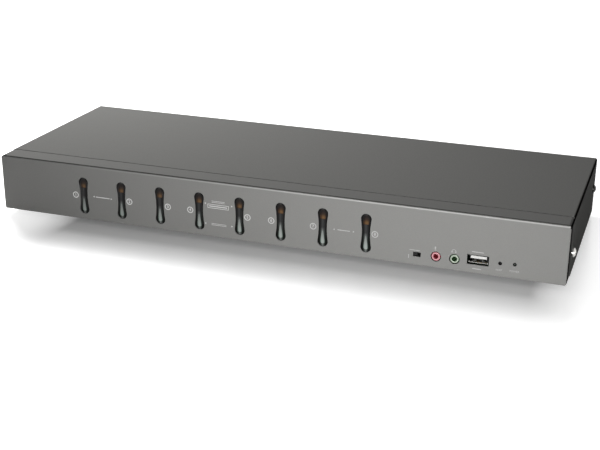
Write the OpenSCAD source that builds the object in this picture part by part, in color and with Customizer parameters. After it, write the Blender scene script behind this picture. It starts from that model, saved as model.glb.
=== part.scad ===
// Eight-port rack-width KVM switch: a folded steel case with a moulded front bezel,
// eight lamp-lit port keys, front sockets and a rear panel with two rows of sockets.
// X runs to the right of the front face, Y runs from front to back, Z is up from the feet.

/* [Case] */
// Width of the case
body_w = 432; // [430:1:480]
// Depth of the case from the bezel's face to the rear panel's face
body_d = 156; // [150:1:240]
// Height of the case above its feet
body_h = 43.2; // [42:0.1:60]
// Thickness of the folded steel sheet
sheet = 1; // [0.8:0.1:1.2]
// Outer radius of the cover's long folds
fold_r = 1.6; // [1.3:0.1:4]
// Clearance between sheets that slip together
slip = 0.1; // [0.05:0.05:0.3]
// Height of a foot
foot_h = 3.5; // [2.5:0.1:10]
// Radius of a foot
foot_r = 7.5; // [5:0.5:12]
// Distance of the feet from the ends of the case
foot_inset_x = 50; // [20:1:90]
// Distance of the front feet from the tray's front edge
foot_front = 11; // [9:1:40]
// Distance of the rear feet from the rear panel's face
foot_rear = 28; // [20:1:50]

/* [Bezel] */
// Depth of the bezel
bezel_d = 17; // [16.5:0.5:30]
// Wall of the bezel
bezel_wall = 1.8; // [1.2:0.1:2]
// Radius of the round along the bezel's front edges
bezel_edge_r = 1.2; // [0.4:0.1:1.6]
// Radius of the bezel's four corners
bezel_corner_r = 2.4; // [1:0.1:6]
// Open seam between the bezel and the cover
seam = 1; // [0.4:0.1:2]
// Radius of a screw boss on the bezel
boss_r = 3; // [2.4:0.1:4]

/* [Port keys] */
// Distance from the left end of the case to the first key
key_margin = 70.8; // [40:0.1:80]
// Distance from key to key
key_pitch = 31.7; // [26:0.1:33]
// Height of the keys' middle above the bottom of the case
key_z = 19; // [17.5:0.1:22]
// Length of the hole that a key fills
key_len = 28.8; // [24:0.1:30]
// Radius of the round ends of that hole
key_end_r = 3.9; // [3.6:0.1:5]
// Width of that hole at its waist
key_waist = 6.1; // [5.6:0.1:7.6]
// Gap round a key in its hole
key_gap = 0.35; // [0.3:0.05:0.6]
// Height of a key's crown over the bezel's face
key_proud = 0.5; // [0.2:0.1:2]
// Radius of a key's crown across its width
key_crown_r = 7; // [6:0.5:20]
// Radius of a key's crown along its length
key_bow_r = 120; // [80:5:300]
// Travel of a key
key_travel = 0.8; // [0.3:0.1:1]
// Width of the black rim round a key's lamp windows
key_rim = 0.9; // [0.6:0.1:1.4]
// Distance from a key's middle to the straight edge of its windows
window_edge = 6.4; // [5:0.1:8]
// Width of the lip that keeps a key behind the bezel
key_lip = 0.9; // [0.5:0.1:1.5]
// Radius of a key's stem
stem_r = 1.6; // [1.2:0.1:2]
// Free gap between parts that move past each other
run_gap = 0.3; // [0.25:0.05:0.5]

/* [Front sockets] */
// Height of the audio jacks' axes above the bottom of the case
jack_z = 8.7; // [8.6:0.1:9.2]
// Distance from the right end of the case to the microphone jack
mic_inset = 89.1; // [86:0.1:92]
// Distance from the right end of the case to the loudspeaker jack
speaker_inset = 76.1; // [73:0.1:79]
// Radius of the hole in the bezel before a jack
jack_hole_r = 3.65; // [3.3:0.05:4.5]
// Radius of a jack's round nose
jack_nose_r = 3; // [2.6:0.1:3.2]
// Radius of a jack's bore for a 3.5 mm plug
jack_bore_r = 1.8; // [1.78:0.01:1.9]
// Depth of a jack's bore
jack_bore_len = 14; // [12:0.5:15]
// Distance from the right end of the case to the USB socket
usb_inset = 60; // [57:0.1:62]
// Height of the USB socket's middle above the bottom of the case
usb_z = 10.2; // [9.6:0.1:12]
// Width of the opening in the bezel before the USB socket
usb_hole_w = 15; // [14:0.1:17]
// Height of the opening in the bezel before the USB socket
usb_hole_h = 7.2; // [6.4:0.1:9]
// Outer width of a USB type A shell
usb_a_w = 13.2; // [13:0.05:13.6]
// Outer height of a USB type A shell
usb_a_h = 5.8; // [5.6:0.05:6]
// Thickness of a socket's sheet shell
shell_t = 0.35; // [0.25:0.05:0.5]
// Depth of a USB socket
usb_len = 14; // [12:0.5:16]
// Distance from the right end of the case to the mode switch
mode_inset = 102.4; // [100:0.1:106]
// Height of the mode switch's middle above the bottom of the case
mode_z = 8.4; // [8.2:0.1:10]
// Width of the mode switch's slot
mode_slot_w = 5.4; // [5:0.1:7]
// Height of the mode switch's slot
mode_slot_h = 3.4; // [3:0.1:4]
// Width of the mode switch's knob
mode_knob_w = 2.4; // [1.6:0.1:2.6]
// Distance from the right end of the case to the reset hole
reset_inset = 44.9; // [42:0.1:47]
// Height of the reset hole above the bottom of the case
reset_z = 10.1; // [9.6:0.1:12]
// Radius of the reset hole
reset_hole_r = 1.35; // [1.2:0.05:2]
// Travel of the reset button
reset_travel = 0.4; // [0.2:0.1:0.8]
// Distance from the right end of the case to the power lamp
lamp_inset = 35; // [30:0.1:37]
// Height of the power lamp above the bottom of the case
lamp_z = 10.7; // [9.6:0.1:12]
// Radius of the power lamp's lens
lamp_r = 1.2; // [1:0.05:1.5]

/* [Rear sockets] */
// Distance from the left end of the case to the first port's field
port_margin = 5.5; // [5:0.1:8]
// Width of one port's field on the rear panel
port_pitch = 39.2; // [39:0.1:40]
// Height of the video sockets' middle above the bottom of the case
dvi_z = 31; // [30.8:0.1:33]
// Width of a video socket's shell
dvi_w = 25.2; // [24:0.1:26]
// Height of a video socket's shell
dvi_h = 9.4; // [8.8:0.1:10]
// How far a video socket stands out of the rear panel
dvi_reach = 5.6; // [5.3:0.1:8]
// Distance between the two jack nuts of a video socket
nut_spacing = 33; // [32:0.1:33.4]
// Width of a jack nut across its flats
nut_flats = 4.75; // [4.5:0.05:5]
// Length of a jack nut outside the panel
nut_len = 5; // [4:0.1:5.2]
// Radius of a jack nut's threaded hole
nut_hole_r = 1.25; // [1.1:0.05:1.4]
// Outer width of a USB type B shell
usb_b_w = 12; // [11.5:0.1:12.4]
// Outer height of a USB type B shell
usb_b_h = 10.8; // [10.5:0.1:11.5]
// Depth of a USB type B socket
usb_b_len = 16; // [14:0.5:17]
// Width of the upgrade socket
rj_w = 13.2; // [12.8:0.1:13.6]
// Height of the upgrade socket
rj_h = 12; // [11:0.1:13]

/* [Power] */
// Width of the mains inlet's flange
inlet_flange_w = 31; // [30:0.5:32]
// Height of the mains inlet's flange
inlet_flange_h = 24; // [23:0.5:26]
// Width of the mains inlet's body
inlet_w = 27; // [26.5:0.1:27.4]
// Height of the mains inlet's body
inlet_h = 20; // [19.8:0.1:20.4]
// Depth of the mains inlet's body behind the panel
inlet_len = 20; // [18:0.5:24]
// Height of the inlet's and the power switch's middle above the bottom of the case
power_z = 22; // [20.5:0.1:26]
// Width of the power switch's flange
switch_flange_w = 15; // [14.5:0.1:16]
// Height of the power switch's flange
switch_flange_h = 21; // [20.5:0.1:23]
// Swing of the rocker from off to on, in degrees
rocker_swing = 22; // [16:1:24]

/* [Boards] */
// Thickness of a circuit board
board_t = 1.6; // [1.2:0.1:1.8]
// Height of the spacers under the lower board
spacer_h = 3.4; // [3.3:0.1:3.6]
// Height of the pillars between the lower and upper boards
pillar_h = 18; // [17.8:0.1:18.4]
// Depth of the upper board
upper_d = 68; // [60:1:72]
// Distance of the key board's front from the bezel's face
key_board_y = 10.4; // [10.2:0.1:11]

/* [Fasteners] */
// Height of the front side screws above the bottom of the case
side_screw_front_z = 16; // [10:0.5:34]
// Height of the rear side screws above the bottom of the case
side_screw_rear_z = 23; // [10:0.5:34]
// Distance of the front side screws from the cover's front edge
side_screw_front = 4.6; // [4:0.1:20]
// Distance of the rear side screws from the rear panel's face
side_screw_rear = 14; // [10:0.5:30]
// Radius of a side screw's head
side_head_r = 3.2; // [2.6:0.1:4]
// Height of a side screw's head
side_head_h = 2.4; // [1.6:0.1:3]
// Radius of a screw's shank
shank_r = 1.5; // [1.3:0.05:1.6]

/* [Hidden] */
$fn = 48;
arc_steps = 8;
lobe_steps = 24;
cut = 1;            // how far a cutting tool runs past the face that it opens
touch = 0.05;       // clearance between pieces that are pressed together, and overlap of joined forms

// The case's frame: y from the bezel's face, z from the bottom of the case
total_d = key_proud + body_d + dvi_reach;
front_y = key_proud - total_d / 2;
half_w = body_w / 2;
inner_x = half_w - sheet - slip;
inner_top = body_h - sheet - slip;
fold_top = inner_top - fold_r;
wall_gap = 0.2;
wall_y = bezel_d + wall_gap;
cover_y = bezel_d + seam;
panel_in = body_d - sheet;
panel_fit = 0.3;
foot_edge_r = 1;

// The rear's right end, from the edge inwards: power switch, inlet, console sockets
switch_inset = 13.5;
power_gap = 3;
console_reach = [26.4, 28.95];
switch_x = half_w - switch_inset;
inlet_x = switch_x - switch_flange_w / 2 - inlet_flange_w / 2 - power_gap;
console_x = inlet_x - inlet_flange_w / 2 - console_reach[1];

// As many ports as both the rear panel and the front have room for
mode_x = half_w - mode_inset;
key_mode_gap = 20;
rear_room = console_x - console_reach[0] + half_w - port_margin;
front_room = mode_x - key_mode_gap + half_w - key_margin;
port_count = min(floor(rear_room / port_pitch), 1 + floor(front_room / key_pitch));

// Boards
lower_z = sheet + spacer_h;
lower_top = lower_z + board_t;
upper_z = lower_top + pillar_h;
upper_top = upper_z + board_t;
board_edge = 3;

// Keys
key_a = key_len / 2 - key_end_r;
key_lip_t = 1;
key_skirt = 1.1;
key_back = bezel_wall + run_gap + key_lip_t + key_skirt;
led_size = [3, 1.2, 2];
guide_web = 0.8;
guide_side = 0.6;
guide_lap = 1;
guide_front = key_back + guide_web;
drop_r = 1.7;
drop_tip_r = 0.6;
drop_gap = 0.5;
drop_z = [-key_a, -stem_r - drop_tip_r - drop_gap];
guide_back = key_board_y - led_size[1] - key_travel - run_gap;
switch_size = 6;
switch_front = guide_front + key_travel + 2 * run_gap;
switch_floor = 1;
stem_end = key_board_y - switch_floor - key_travel - run_gap;
function key_x(i) = -half_w + key_margin + key_pitch * (i - 1);

// Front sockets
mic_x = half_w - mic_inset;
speaker_x = half_w - speaker_inset;
usb_x = half_w - usb_inset;
reset_x = half_w - reset_inset;
lamp_x = half_w - lamp_inset;
nose_lap = 1.5;
nose_y = bezel_wall - nose_lap;
nose_len = 5.2;
jack_proud = 0.5;
jack_w = 7;
jack_h = 5.6;
jack_wall = 2;
shelf_y = nose_y + nose_len + slip;
shelf_reach = [12, 10];
shelf_x = [mode_x - shelf_reach[0], lamp_x + shelf_reach[1]];
shelf_d = 50;
shelf_window_h = 12;
shelf_window_gap = [2, 1];
shelf_spacer_in = 6;
socket_gap = 0.3;
shell_y = bezel_wall + socket_gap;
usb_leg = [4, 3];
usb_leg_w = 2;
tongue_t = 1.84;
tongue_lift = 0.9;
tongue_gap = 1.4;
tongue_back = 0.8;
tongue_root = 3;
mode_end = 0.5;
mode_tip = 0.5;
mode_floor = 1;
mode_knob_gap = 0.6;
mode_knob_h = mode_slot_h - 2 * mode_knob_gap;
mode_ridge = 0.24;
mode_ridge_pitch = 0.7;
mode_sill = 0.2;
mode_pocket_h = mode_slot_h - 2 * mode_sill;
mode_wall = [1.6, 0.7];
mode_deep = 4.4;
mode_body = [mode_slot_w + 2 * mode_wall[0], mode_deep, mode_slot_h + 2 * mode_wall[1]];
mode_body_y = bezel_wall + socket_gap;
mode_pocket_end = mode_body_y + mode_body[1] - mode_floor;
reset_gap = 0.35;
reset_r = reset_hole_r - reset_gap;
reset_lead = 0.2;
reset_tip = bezel_wall + reset_lead;
reset_body = [6, 4, 7];
reset_body_y = 6;
reset_back = 1;
reset_floor = reset_body_y + reset_body[1] - reset_back;
lamp_dome_y = 0.9;
lamp_holder = [4, 7, 2];
key_bay_reach = 20;
key_bay_gap = 1;
key_bay = [key_x(1) - key_bay_reach, min(key_x(port_count) + key_bay_reach, shelf_x[0] - key_bay_gap)];
key_bay_edge = bezel_wall + key_bay_gap;

// Rear sockets
function port_x(i) = -half_w + port_margin + port_pitch * (i - 0.5);
dvi_x = concat([for (i = [1:port_count]) port_x(i)], [console_x]);
dvi_taper = 1.1;
dvi_corner = 1.6;
dvi_wall = 0.45;
dvi_recess = 0.4;
dvi_flange_edge = [2, 1.7];
dvi_flange_t = 0.8;
dvi_flange = [nut_spacing + 2 * dvi_flange_edge[0], dvi_flange_t, dvi_h + 2 * dvi_flange_edge[1]];
dvi_block_edge = 0.5;
dvi_block_d = 9;
dvi_block = [dvi_w + 2 * dvi_block_edge, dvi_block_d, 2 * (dvi_z - upper_top)];
contact = 0.95;
contact_pitch = 1.905;
contact_rows = 3;
contact_columns = 8;
contact_deep = 3;
contact_first = 9;
blade_x = -8.2;
blade = [4.6, 0.6];
nut_stud_r = 1.4;
nut_stud_len = 3;
nut_floor = 0.6;
socket_proud = 0.4;
usb_b_dx = -9.6;
usb_b_spots = [for (i = [1:port_count]) port_x(i) + usb_b_dx];
usb_b_z = lower_top + usb_b_h / 2;
usb_b_mouth = [8.5, 7.8];
usb_b_corner = 1.7;
usb_b_core = [5.6, 3.2];
usb_b_core_back = 1.6;
usb_b_floor = 1.5;
mic_dx = 3.4;
speaker_dx = 12.2;
rear_jack_rise = 4.4;
rear_jack_z = lower_top + rear_jack_rise;
console_usb_dx = -19;
console_usb_x = console_x + console_usb_dx;
usb_stack = [0.5, 2.1];
console_usb_z = [for (k = [0, 1]) lower_top + usb_stack[k] + usb_a_h * (k + 0.5)];
rj_dx = 16;
rj_x = console_x + rj_dx;
rj_z = lower_top + rj_h / 2;
rj_mouth = [9.8, 6.8];
rj_lift = 0.6;
rj_len = 15;
rj_floor = 2;
rj_notch = [3.4, 4, 1.2];
console_mic_dx = -6;
console_speaker_dx = 3;
mic_spots = concat([for (i = [1:port_count]) port_x(i) + mic_dx], [console_x + console_mic_dx]);
speaker_spots = concat([for (i = [1:port_count]) port_x(i) + speaker_dx], [console_x + console_speaker_dx]);

// Power
inlet_lip = 2.5;
inlet_corner_r = 2.5;
inlet_wall = 1.6;
inlet_floor = 3;
inlet_mouth_corner = 4.5;
pin_size = [2, 4];
pin_back = 3;
pin_tail = 7;
pin_spots = [[-7, -1.6], [7, -1.6], [0, 2.4]];
switch_lip = 2;
switch_corner_r = 1.5;
switch_wall = 1.2;
switch_lap = [1.2, 0.8];
switch_deep = 16;
switch_body = [switch_flange_w - 2 * switch_lap[0], switch_deep, switch_flange_h - 2 * switch_lap[1]];
switch_back = 4;
switch_mouth = [switch_body[0] - 2 * switch_wall, switch_body[2] - 2 * switch_wall];
rocker_w = switch_mouth[0] - 2 * run_gap;
rocker_end = 1;
rocker_half = switch_mouth[1] / 2 - rocker_end;
rocker_rise = 2;
rocker_deep = 4;
rocker_foot = 0.6;
pivot_r = 1.2;
pivot_len = 0.9;
pivot_fit = 0.05;
pivot_end = 0.1;
ground_drop = 5.2;
ground_z = power_z - switch_flange_h / 2 - ground_drop;
ground_head = [3, 2];

// Boards' outlines and what stands on them
board_gap = 4;
upper_step = 2;
wall_clear = 1;
lower_x = [-inner_x + sheet + board_edge, inlet_x - inlet_w / 2 - board_gap];
upper_x = [lower_x[0] + upper_step, console_x + dvi_flange[0] / 2 + board_gap];
lower_front = wall_y + sheet + wall_clear;
board_back = panel_in - dvi_flange[1] - panel_fit;
power_x = [lower_x[1] + board_edge, inner_x - sheet - board_edge];
power_y = [shelf_y + shelf_d + board_gap, panel_in - inlet_len - board_gap];
spacer_in = 8;
power_spacer_in = 5;
pillar_r = 2.6;
pillar_in = [22, 6];
pillar_rows = [board_back - pillar_in[0], board_back - upper_d + pillar_in[1]];
pillar_cols = [upper_x[0] + spacer_in, port_x(2.5), port_x(5.5), upper_x[1] - pillar_in[1]];
pillar_spots = [for (x = pillar_cols, y = pillar_rows) [x, y]];
front_spacer_spots = concat(
    [for (x = [lower_x[0] + spacer_in, key_x(2), key_x(6)]) [x, lower_front + spacer_in]],
    [[shelf_x[1] - shelf_spacer_in, shelf_y + shelf_d - shelf_spacer_in]]
);
power_spacer_spots = [
    for (x = [power_x[0] + power_spacer_in, power_x[1] - power_spacer_in],
         y = [power_y[0] + power_spacer_in, power_y[1] - power_spacer_in]) [x, y]
];
cable_x = key_x((port_count + 1) / 2);
cable_w = 20;
cable_t = 1;
cable_z = 14.5;
cable_plug = [2.5, 5];
cable_socket = [5, 6];
cable_lap = 1;
cable_reach = 12;
cable_landing = wall_y + sheet + cable_reach;
cable_window_edge = 4;
cable_window_h = 18;
cable_window = [cable_w + 2 * cable_window_edge, cable_window_h];
transformer_foot = [22, 26, 3];
transformer_core = [16, 24, 18];
transformer_coil = [24, 12, 20];
transformer_shift = 8;
transformer_x = (power_x[0] + power_x[1]) / 2 - transformer_shift;
transformer_y = (power_y[0] + power_y[1]) / 2;
capacitor_sizes = [[7.5, 24], [5, 18], [5, 18]];
capacitor_in = [10, 17];
capacitor_x = power_x[1] - capacitor_in[0];
capacitor_y = power_y[0] + capacitor_in[1];
capacitor_pitch = 18;
chip_size = [20, 20, 1.8];
chip_in = 42;
chip_row = board_back - chip_in;
chip_spots = [for (i = [1.5:2:port_count]) [port_x(i), chip_row]];
cooler_size = [22, 22, 2];
fin = [0.9, 6.2];
fin_pitch = 2.5;
fins_each_side = 4;
link_size = [50, 5];
link_in = 12;
link_y = board_back - upper_d + link_in;

// Fasteners
thread_gap = 0.05;
clear_gap = 0.2;
small_head = [2.6, 1.6];
recess_share = [1.15, 0.26, 0.6];
dome_share = 1.25;
side_spots = [
    for (side = [-1, 1], at = [[cover_y + side_screw_front, side_screw_front_z],
                               [body_d - side_screw_rear, side_screw_rear_z]])
        [side, at[0], at[1]]
];
side_shank = 6;
clinch_r = 3.2;
clinch_t = 1.5;
base_screw_pitch = 98;
base_screw_cols = [for (k = [-1.5:1:1.5]) k * base_screw_pitch];
base_flange = 9;
base_flange_in = 2;
base_tail = 1;
base_shank = 2 * sheet + base_tail;
boss_root = 3;
boss_bite = 6;
board_bite = 4;
screw_short = 0.4;
bezel_boss_in = [10, 9];
bezel_boss_spots = [
    for (side = [-1, 1], z = [bezel_boss_in[1], body_h - bezel_boss_in[1]])
        [side * (half_w - bezel_boss_in[0]), z]
];
key_boss_drop = 6;
key_boss_spots = [for (i = [1.5:2:port_count]) [key_x(i), body_h - key_boss_drop]];

// Frames and shared shapes

// Children are drawn with y from the bezel's face and z from the bottom of the case
module in_case() {
    translate([0, front_y, foot_h]) children();
}

// A flat outline in x and z, made solid from y0 to y1
module along_y(y0, y1) {
    translate([0, y1, 0]) rotate([90, 0, 0]) linear_extrude(y1 - y0) children();
}

// A round bar along y
module bar_y(x, z, r, y0, y1) {
    translate([x, y0, z]) rotate([-90, 0, 0]) cylinder(r = r, h = y1 - y0);
}

// A round hole along z through a flat sheet or board
module hole_z(at, r, z0, z1) {
    translate([at[0], at[1], z0 - cut]) cylinder(r = r, h = z1 - z0 + 2 * cut);
}

// A round bar along x through one side of the case
module side_bar(at, r, x0, x1) {
    translate([at[0] * (x0 + x1) / 2, at[1], at[2]]) rotate([0, 90, 0])
        cylinder(r = r, h = x1 - x0, center = true);
}

// A box by its corner ranges
module block(x, y, z) {
    translate([x[0], y[0], z[0]]) cube([x[1] - x[0], y[1] - y[0], z[1] - z[0]]);
}

// A range of the given width about a middle
function about(middle, width) = [middle - width / 2, middle + width / 2];

function arc(cx, cy, r, from, to, steps) = [
    for (k = [0:steps]) let (a = from + (to - from) * k / steps) [cx + r * cos(a), cy + r * sin(a)]
];

function round_rect(w, h, r) = concat(
    arc(w / 2 - r, h / 2 - r, r, 0, 90, arc_steps),
    arc(-w / 2 + r, h / 2 - r, r, 90, 180, arc_steps),
    arc(-w / 2 + r, -h / 2 + r, r, 180, 270, arc_steps),
    arc(w / 2 - r, -h / 2 + r, r, 270, 360, arc_steps)
);

// A rectangle from the base line up, with its two upper corners cut off
function clipped_rect(w, z0, z1, c) = [
    [-w / 2, z0], [w / 2, z0], [w / 2, z1 - c], [w / 2 - c, z1], [-w / 2 + c, z1], [-w / 2, z1 - c]
];

// One hollow flank of a key's outline, from end to end
function flank_arc(side, c, r, t) = [
    for (k = [1:arc_steps - 1]) let (b = side * t * (1 - 2 * k / arc_steps))
        [side * (r * cos(b) - c), r * sin(b)]
];

// Waisted key outline: two round ends joined by hollow flanks that touch both, grown by g
function key_outline(g) =
    let (r = key_end_r + g, w = key_waist / 2 + g, a = key_a,
         flank = (a * a + w * w - r * r) / (2 * (r - w)), c = flank + w, t = atan(a / c))
    concat(
        arc(0, a, r, -t, 180 + t, lobe_steps), flank_arc(1, c, flank, t),
        arc(0, -a, r, 180 - t, 360 + t, lobe_steps), flank_arc(-1, c, flank, t)
    );

// Video socket outline: flat top and bottom, ends drawn in towards the bottom, grown by g
function dvi_outline(g) =
    let (w = dvi_w / 2 + g, h = dvi_h / 2 + g, c = dvi_corner, low = w - dvi_taper) [
        [w - c, h], [-w + c, h], [-w, h - c], [-low, -h + c],
        [-low + c, -h], [low - c, -h], [low, -h + c], [w, h - c]
    ];

// Pan-head screw along +z with a cross recess; its head's underside is at z = 0
module screw(head, r, length) {
    head_r = head[0];
    head_h = head[1];
    dome_r = dome_share * (head_r * head_r + head_h * head_h) / (2 * head_h);
    slot = [head_r * recess_share[0], head_r * recess_share[1], head_h * recess_share[2] + cut];
    difference() {
        union() {
            intersection() {
                translate([0, 0, -head_h]) cylinder(r = head_r, h = head_h);
                translate([0, 0, dome_r - head_h]) sphere(r = dome_r, $fn = 96);
            }
            cylinder(r = r, h = length);
        }
        for (turn = [0, 90]) rotate([0, 0, turn])
            translate([-slot[0] / 2, -slot[1] / 2, -head_h - cut]) cube(slot);
    }
}

// Case

module front_bezel() color([0.42, 0.42, 0.41]) in_case() difference() {
    union() {
        difference() {
            bezel_skin();
            block(about(0, body_w - 2 * bezel_wall), [bezel_wall, bezel_d + cut],
                  [bezel_wall, body_h - bezel_wall]);
        }
        for (at = bezel_boss_spots) bar_y(at[0], at[1], boss_r, bezel_wall - touch, wall_y);
        for (at = key_boss_spots) bar_y(at[0], at[1], boss_r, bezel_wall - touch, key_board_y);
    }
    for (at = bezel_boss_spots)
        bar_y(at[0], at[1], shank_r + thread_gap, bezel_wall + boss_root, wall_y + cut);
    for (at = key_boss_spots)
        bar_y(at[0], at[1], shank_r + thread_gap, bezel_wall + boss_root, key_board_y + cut);
    for (i = [1:port_count]) translate([key_x(i), 0, key_z])
        along_y(-cut, bezel_wall + cut) polygon(key_outline(0));
    for (x = [mic_x, speaker_x]) bar_y(x, jack_z, jack_hole_r, -cut, bezel_wall + cut);
    block(about(usb_x, usb_hole_w), [-cut, bezel_wall + cut], about(usb_z, usb_hole_h));
    block(about(mode_x, mode_slot_w), [-cut, bezel_wall + cut], about(mode_z, mode_slot_h));
    bar_y(reset_x, reset_z, reset_hole_r, -cut, bezel_wall + cut);
    bar_y(lamp_x, lamp_z, lamp_r + run_gap / 2, -cut, bezel_wall + cut);
}

// The bezel's outer form: what three prisms share, each with rounded corners
module bezel_skin() {
    function front_rounds(half, r) = concat(
        [[half, bezel_d + cut]], arc(half - r, r, r, 0, -90, arc_steps),
        arc(-half + r, r, r, -90, -180, arc_steps), [[-half, bezel_d + cut]]
    );
    translate([0, 0, body_h / 2]) intersection() {
        along_y(0, bezel_d) polygon(round_rect(body_w, body_h, bezel_corner_r));
        linear_extrude(body_h + 2 * cut, center = true) polygon(front_rounds(half_w, bezel_edge_r));
        rotate([0, 90, 0]) linear_extrude(body_w + 2 * cut, center = true)
            polygon(front_rounds(body_h / 2, bezel_edge_r));
    }
}

// Folded cover: top and two sides in one sheet
module top_cover() color([0.36, 0.36, 0.35]) in_case() {
    in_w = half_w - sheet;
    fold_x = half_w - fold_r;
    fold_z = body_h - fold_r;
    outside = concat([[half_w, 0]], arc(fold_x, fold_z, fold_r, 0, 90, arc_steps),
                     arc(-fold_x, fold_z, fold_r, 90, 180, arc_steps), [[-half_w, 0]]);
    inside = concat([[-in_w, 0]], arc(-fold_x, fold_z, fold_r - sheet, 180, 90, arc_steps),
                    arc(fold_x, fold_z, fold_r - sheet, 90, 0, arc_steps), [[in_w, 0]]);
    difference() {
        along_y(cover_y, body_d) polygon(concat(outside, inside));
        for (at = side_spots) side_bar(at, shank_r + clear_gap, half_w - sheet - cut, half_w + cut);
    }
}

// Folded tray: floor, two sides and the wall behind the bezel
module base_tray() color([0.30, 0.30, 0.30]) in_case() {
    nut_x = inner_x - sheet - clinch_t;
    through = [wall_y - cut, wall_y + sheet + cut];
    difference() {
        union() {
            block(about(0, 2 * inner_x), [wall_y, body_d], [0, sheet]);
            along_y(wall_y, wall_y + sheet) polygon(clipped_rect(2 * inner_x, 0, inner_top, fold_r));
            for (side = [-1, 1])
                block(about(side * (inner_x - sheet / 2), sheet), [wall_y, panel_in - slip], [0, fold_top]);
            for (at = side_spots) side_bar(at, clinch_r, nut_x, inner_x - sheet / 2);
        }
        for (at = side_spots) side_bar(at, shank_r + thread_gap, nut_x - cut, inner_x + cut);
        for (at = bezel_boss_spots) bar_y(at[0], at[1], shank_r + clear_gap, through[0], through[1]);
        for (x = base_screw_cols) hole_z([x, panel_in - base_flange / 2], shank_r + clear_gap, 0, sheet);
        block(about(cable_x, cable_window[0]), through, about(cable_z, cable_window[1]));
        block([shelf_x[0] - shelf_window_gap[0], shelf_x[1] + shelf_window_gap[0]], through,
              [lower_z - shelf_window_gap[1], lower_top + shelf_window_h]);
    }
}

// Upright panel with a foot folded forward onto the tray's floor
module rear_panel() color([0.34, 0.34, 0.33]) in_case() {
    through = [panel_in - cut, body_d + cut];
    fit = 2 * panel_fit;
    difference() {
        union() {
            along_y(panel_in, body_d) polygon(clipped_rect(2 * inner_x, sheet, inner_top, fold_r));
            block(about(0, 2 * (inner_x - sheet - base_flange_in)),
                  [panel_in - base_flange, panel_in + sheet / 2], [sheet, 2 * sheet]);
        }
        for (x = dvi_x) {
            translate([x, 0, dvi_z]) along_y(through[0], through[1]) polygon(dvi_outline(panel_fit));
            for (side = [-1, 1])
                bar_y(x + side * nut_spacing / 2, dvi_z, nut_stud_r + clear_gap, through[0], through[1]);
        }
        for (x = usb_b_spots) block(about(x, usb_b_w + fit), through, about(usb_b_z, usb_b_h + fit));
        for (x = concat(mic_spots, speaker_spots))
            bar_y(x, rear_jack_z, jack_nose_r + clear_gap, through[0], through[1]);
        for (z = console_usb_z)
            block(about(console_usb_x, usb_a_w + fit), through, about(z, usb_a_h + fit));
        block(about(rj_x, rj_w + fit), through, about(rj_z, rj_h + fit));
        block(about(inlet_x, inlet_w + fit), through, about(power_z, inlet_h + fit));
        block(about(switch_x, switch_body[0] + fit), through, about(power_z, switch_body[2] + fit));
        bar_y(switch_x, ground_z, shank_r + thread_gap, through[0], through[1]);
        for (x = base_screw_cols)
            hole_z([x, panel_in - base_flange / 2], shank_r + thread_gap, sheet, 2 * sheet);
    }
}

module rubber_feet() color([0.08, 0.08, 0.08])
    for (side = [-1, 1], y = [wall_y + foot_front, body_d - foot_rear])
        translate([side * (half_w - foot_inset_x), front_y + y, 0]) foot();

// Turned rubber foot with a rounded lower edge
module foot() {
    rotate_extrude() polygon(concat(
        [[0, 0]], arc(foot_r - foot_edge_r, foot_edge_r, foot_edge_r, -90, 0, arc_steps),
        [[foot_r, foot_h], [0, foot_h]]
    ));
}

module side_screws() color([0.75, 0.75, 0.74]) in_case()
    for (at = side_spots) translate([at[0] * half_w, at[1], at[2]])
        rotate([0, -90 * at[0], 0]) screw([side_head_r, side_head_h], shank_r, side_shank);

module base_screws() color([0.7, 0.7, 0.69]) in_case()
    for (x = base_screw_cols) translate([x, panel_in - base_flange / 2, 0])
        screw(small_head, shank_r, base_shank);

module bezel_screws() color([0.7, 0.7, 0.69]) in_case()
    for (at = bezel_boss_spots) translate([at[0], wall_y + sheet, at[1]])
        rotate([90, 0, 0]) screw(small_head, shank_r, sheet + boss_bite);

// Port keys

// The space under a key's face, which is crowned across its width and bowed along its length
module key_face() {
    intersection() {
        translate([0, key_crown_r - key_proud, 0])
            cylinder(r = key_crown_r, h = 2 * key_len, center = true, $fn = 96);
        translate([0, key_bow_r - key_proud, 0]) rotate([0, 90, 0])
            cylinder(r = key_bow_r, h = 8 * key_end_r, center = true, $fn = 192);
    }
}

// Drop-shaped lower window: a round end drawn up to a narrow tip under the stem, grown by g
function drop_outline(g) =
    let (r = drop_r + g, tip = drop_tip_r + g, t = asin((r - tip) / (drop_z[1] - drop_z[0])))
    concat(
        arc(0, drop_z[1], tip, t, 180 - t, lobe_steps), arc(0, drop_z[0], r, 180 - t, 360 + t, lobe_steps)
    );

// One lamp window's outline, over (+1) or under (-1) the key's middle, grown by g
module key_window(side, g) {
    if (side > 0) intersection() {
        polygon(key_outline(g - key_gap - key_rim));
        key_end_half(side, g);
    }
    else polygon(drop_outline(g));
}

// All of a key's outline that lies past the windows' inner edge, at one end, grown by g
module key_end_half(side, g) {
    tall = key_len - window_edge + g;
    translate([-key_end_r, side > 0 ? window_edge - g : -key_len]) square([2 * key_end_r, tall]);
}

module port_key(i) color([0.03, 0.03, 0.03]) in_case() translate([key_x(i), 0, key_z]) {
    lip_y = bezel_wall + run_gap;
    difference() {
        intersection() {
            union() {
                along_y(-key_proud, key_back) polygon(key_outline(-key_gap));
                along_y(lip_y, lip_y + key_lip_t) polygon(key_outline(key_lip));
            }
            key_face();
        }
        for (side = [-1, 1]) along_y(-key_proud - cut, key_back + cut) key_window(side, 0);
    }
    bar_y(0, 0, stem_r, key_back - touch, stem_end);
}

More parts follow.
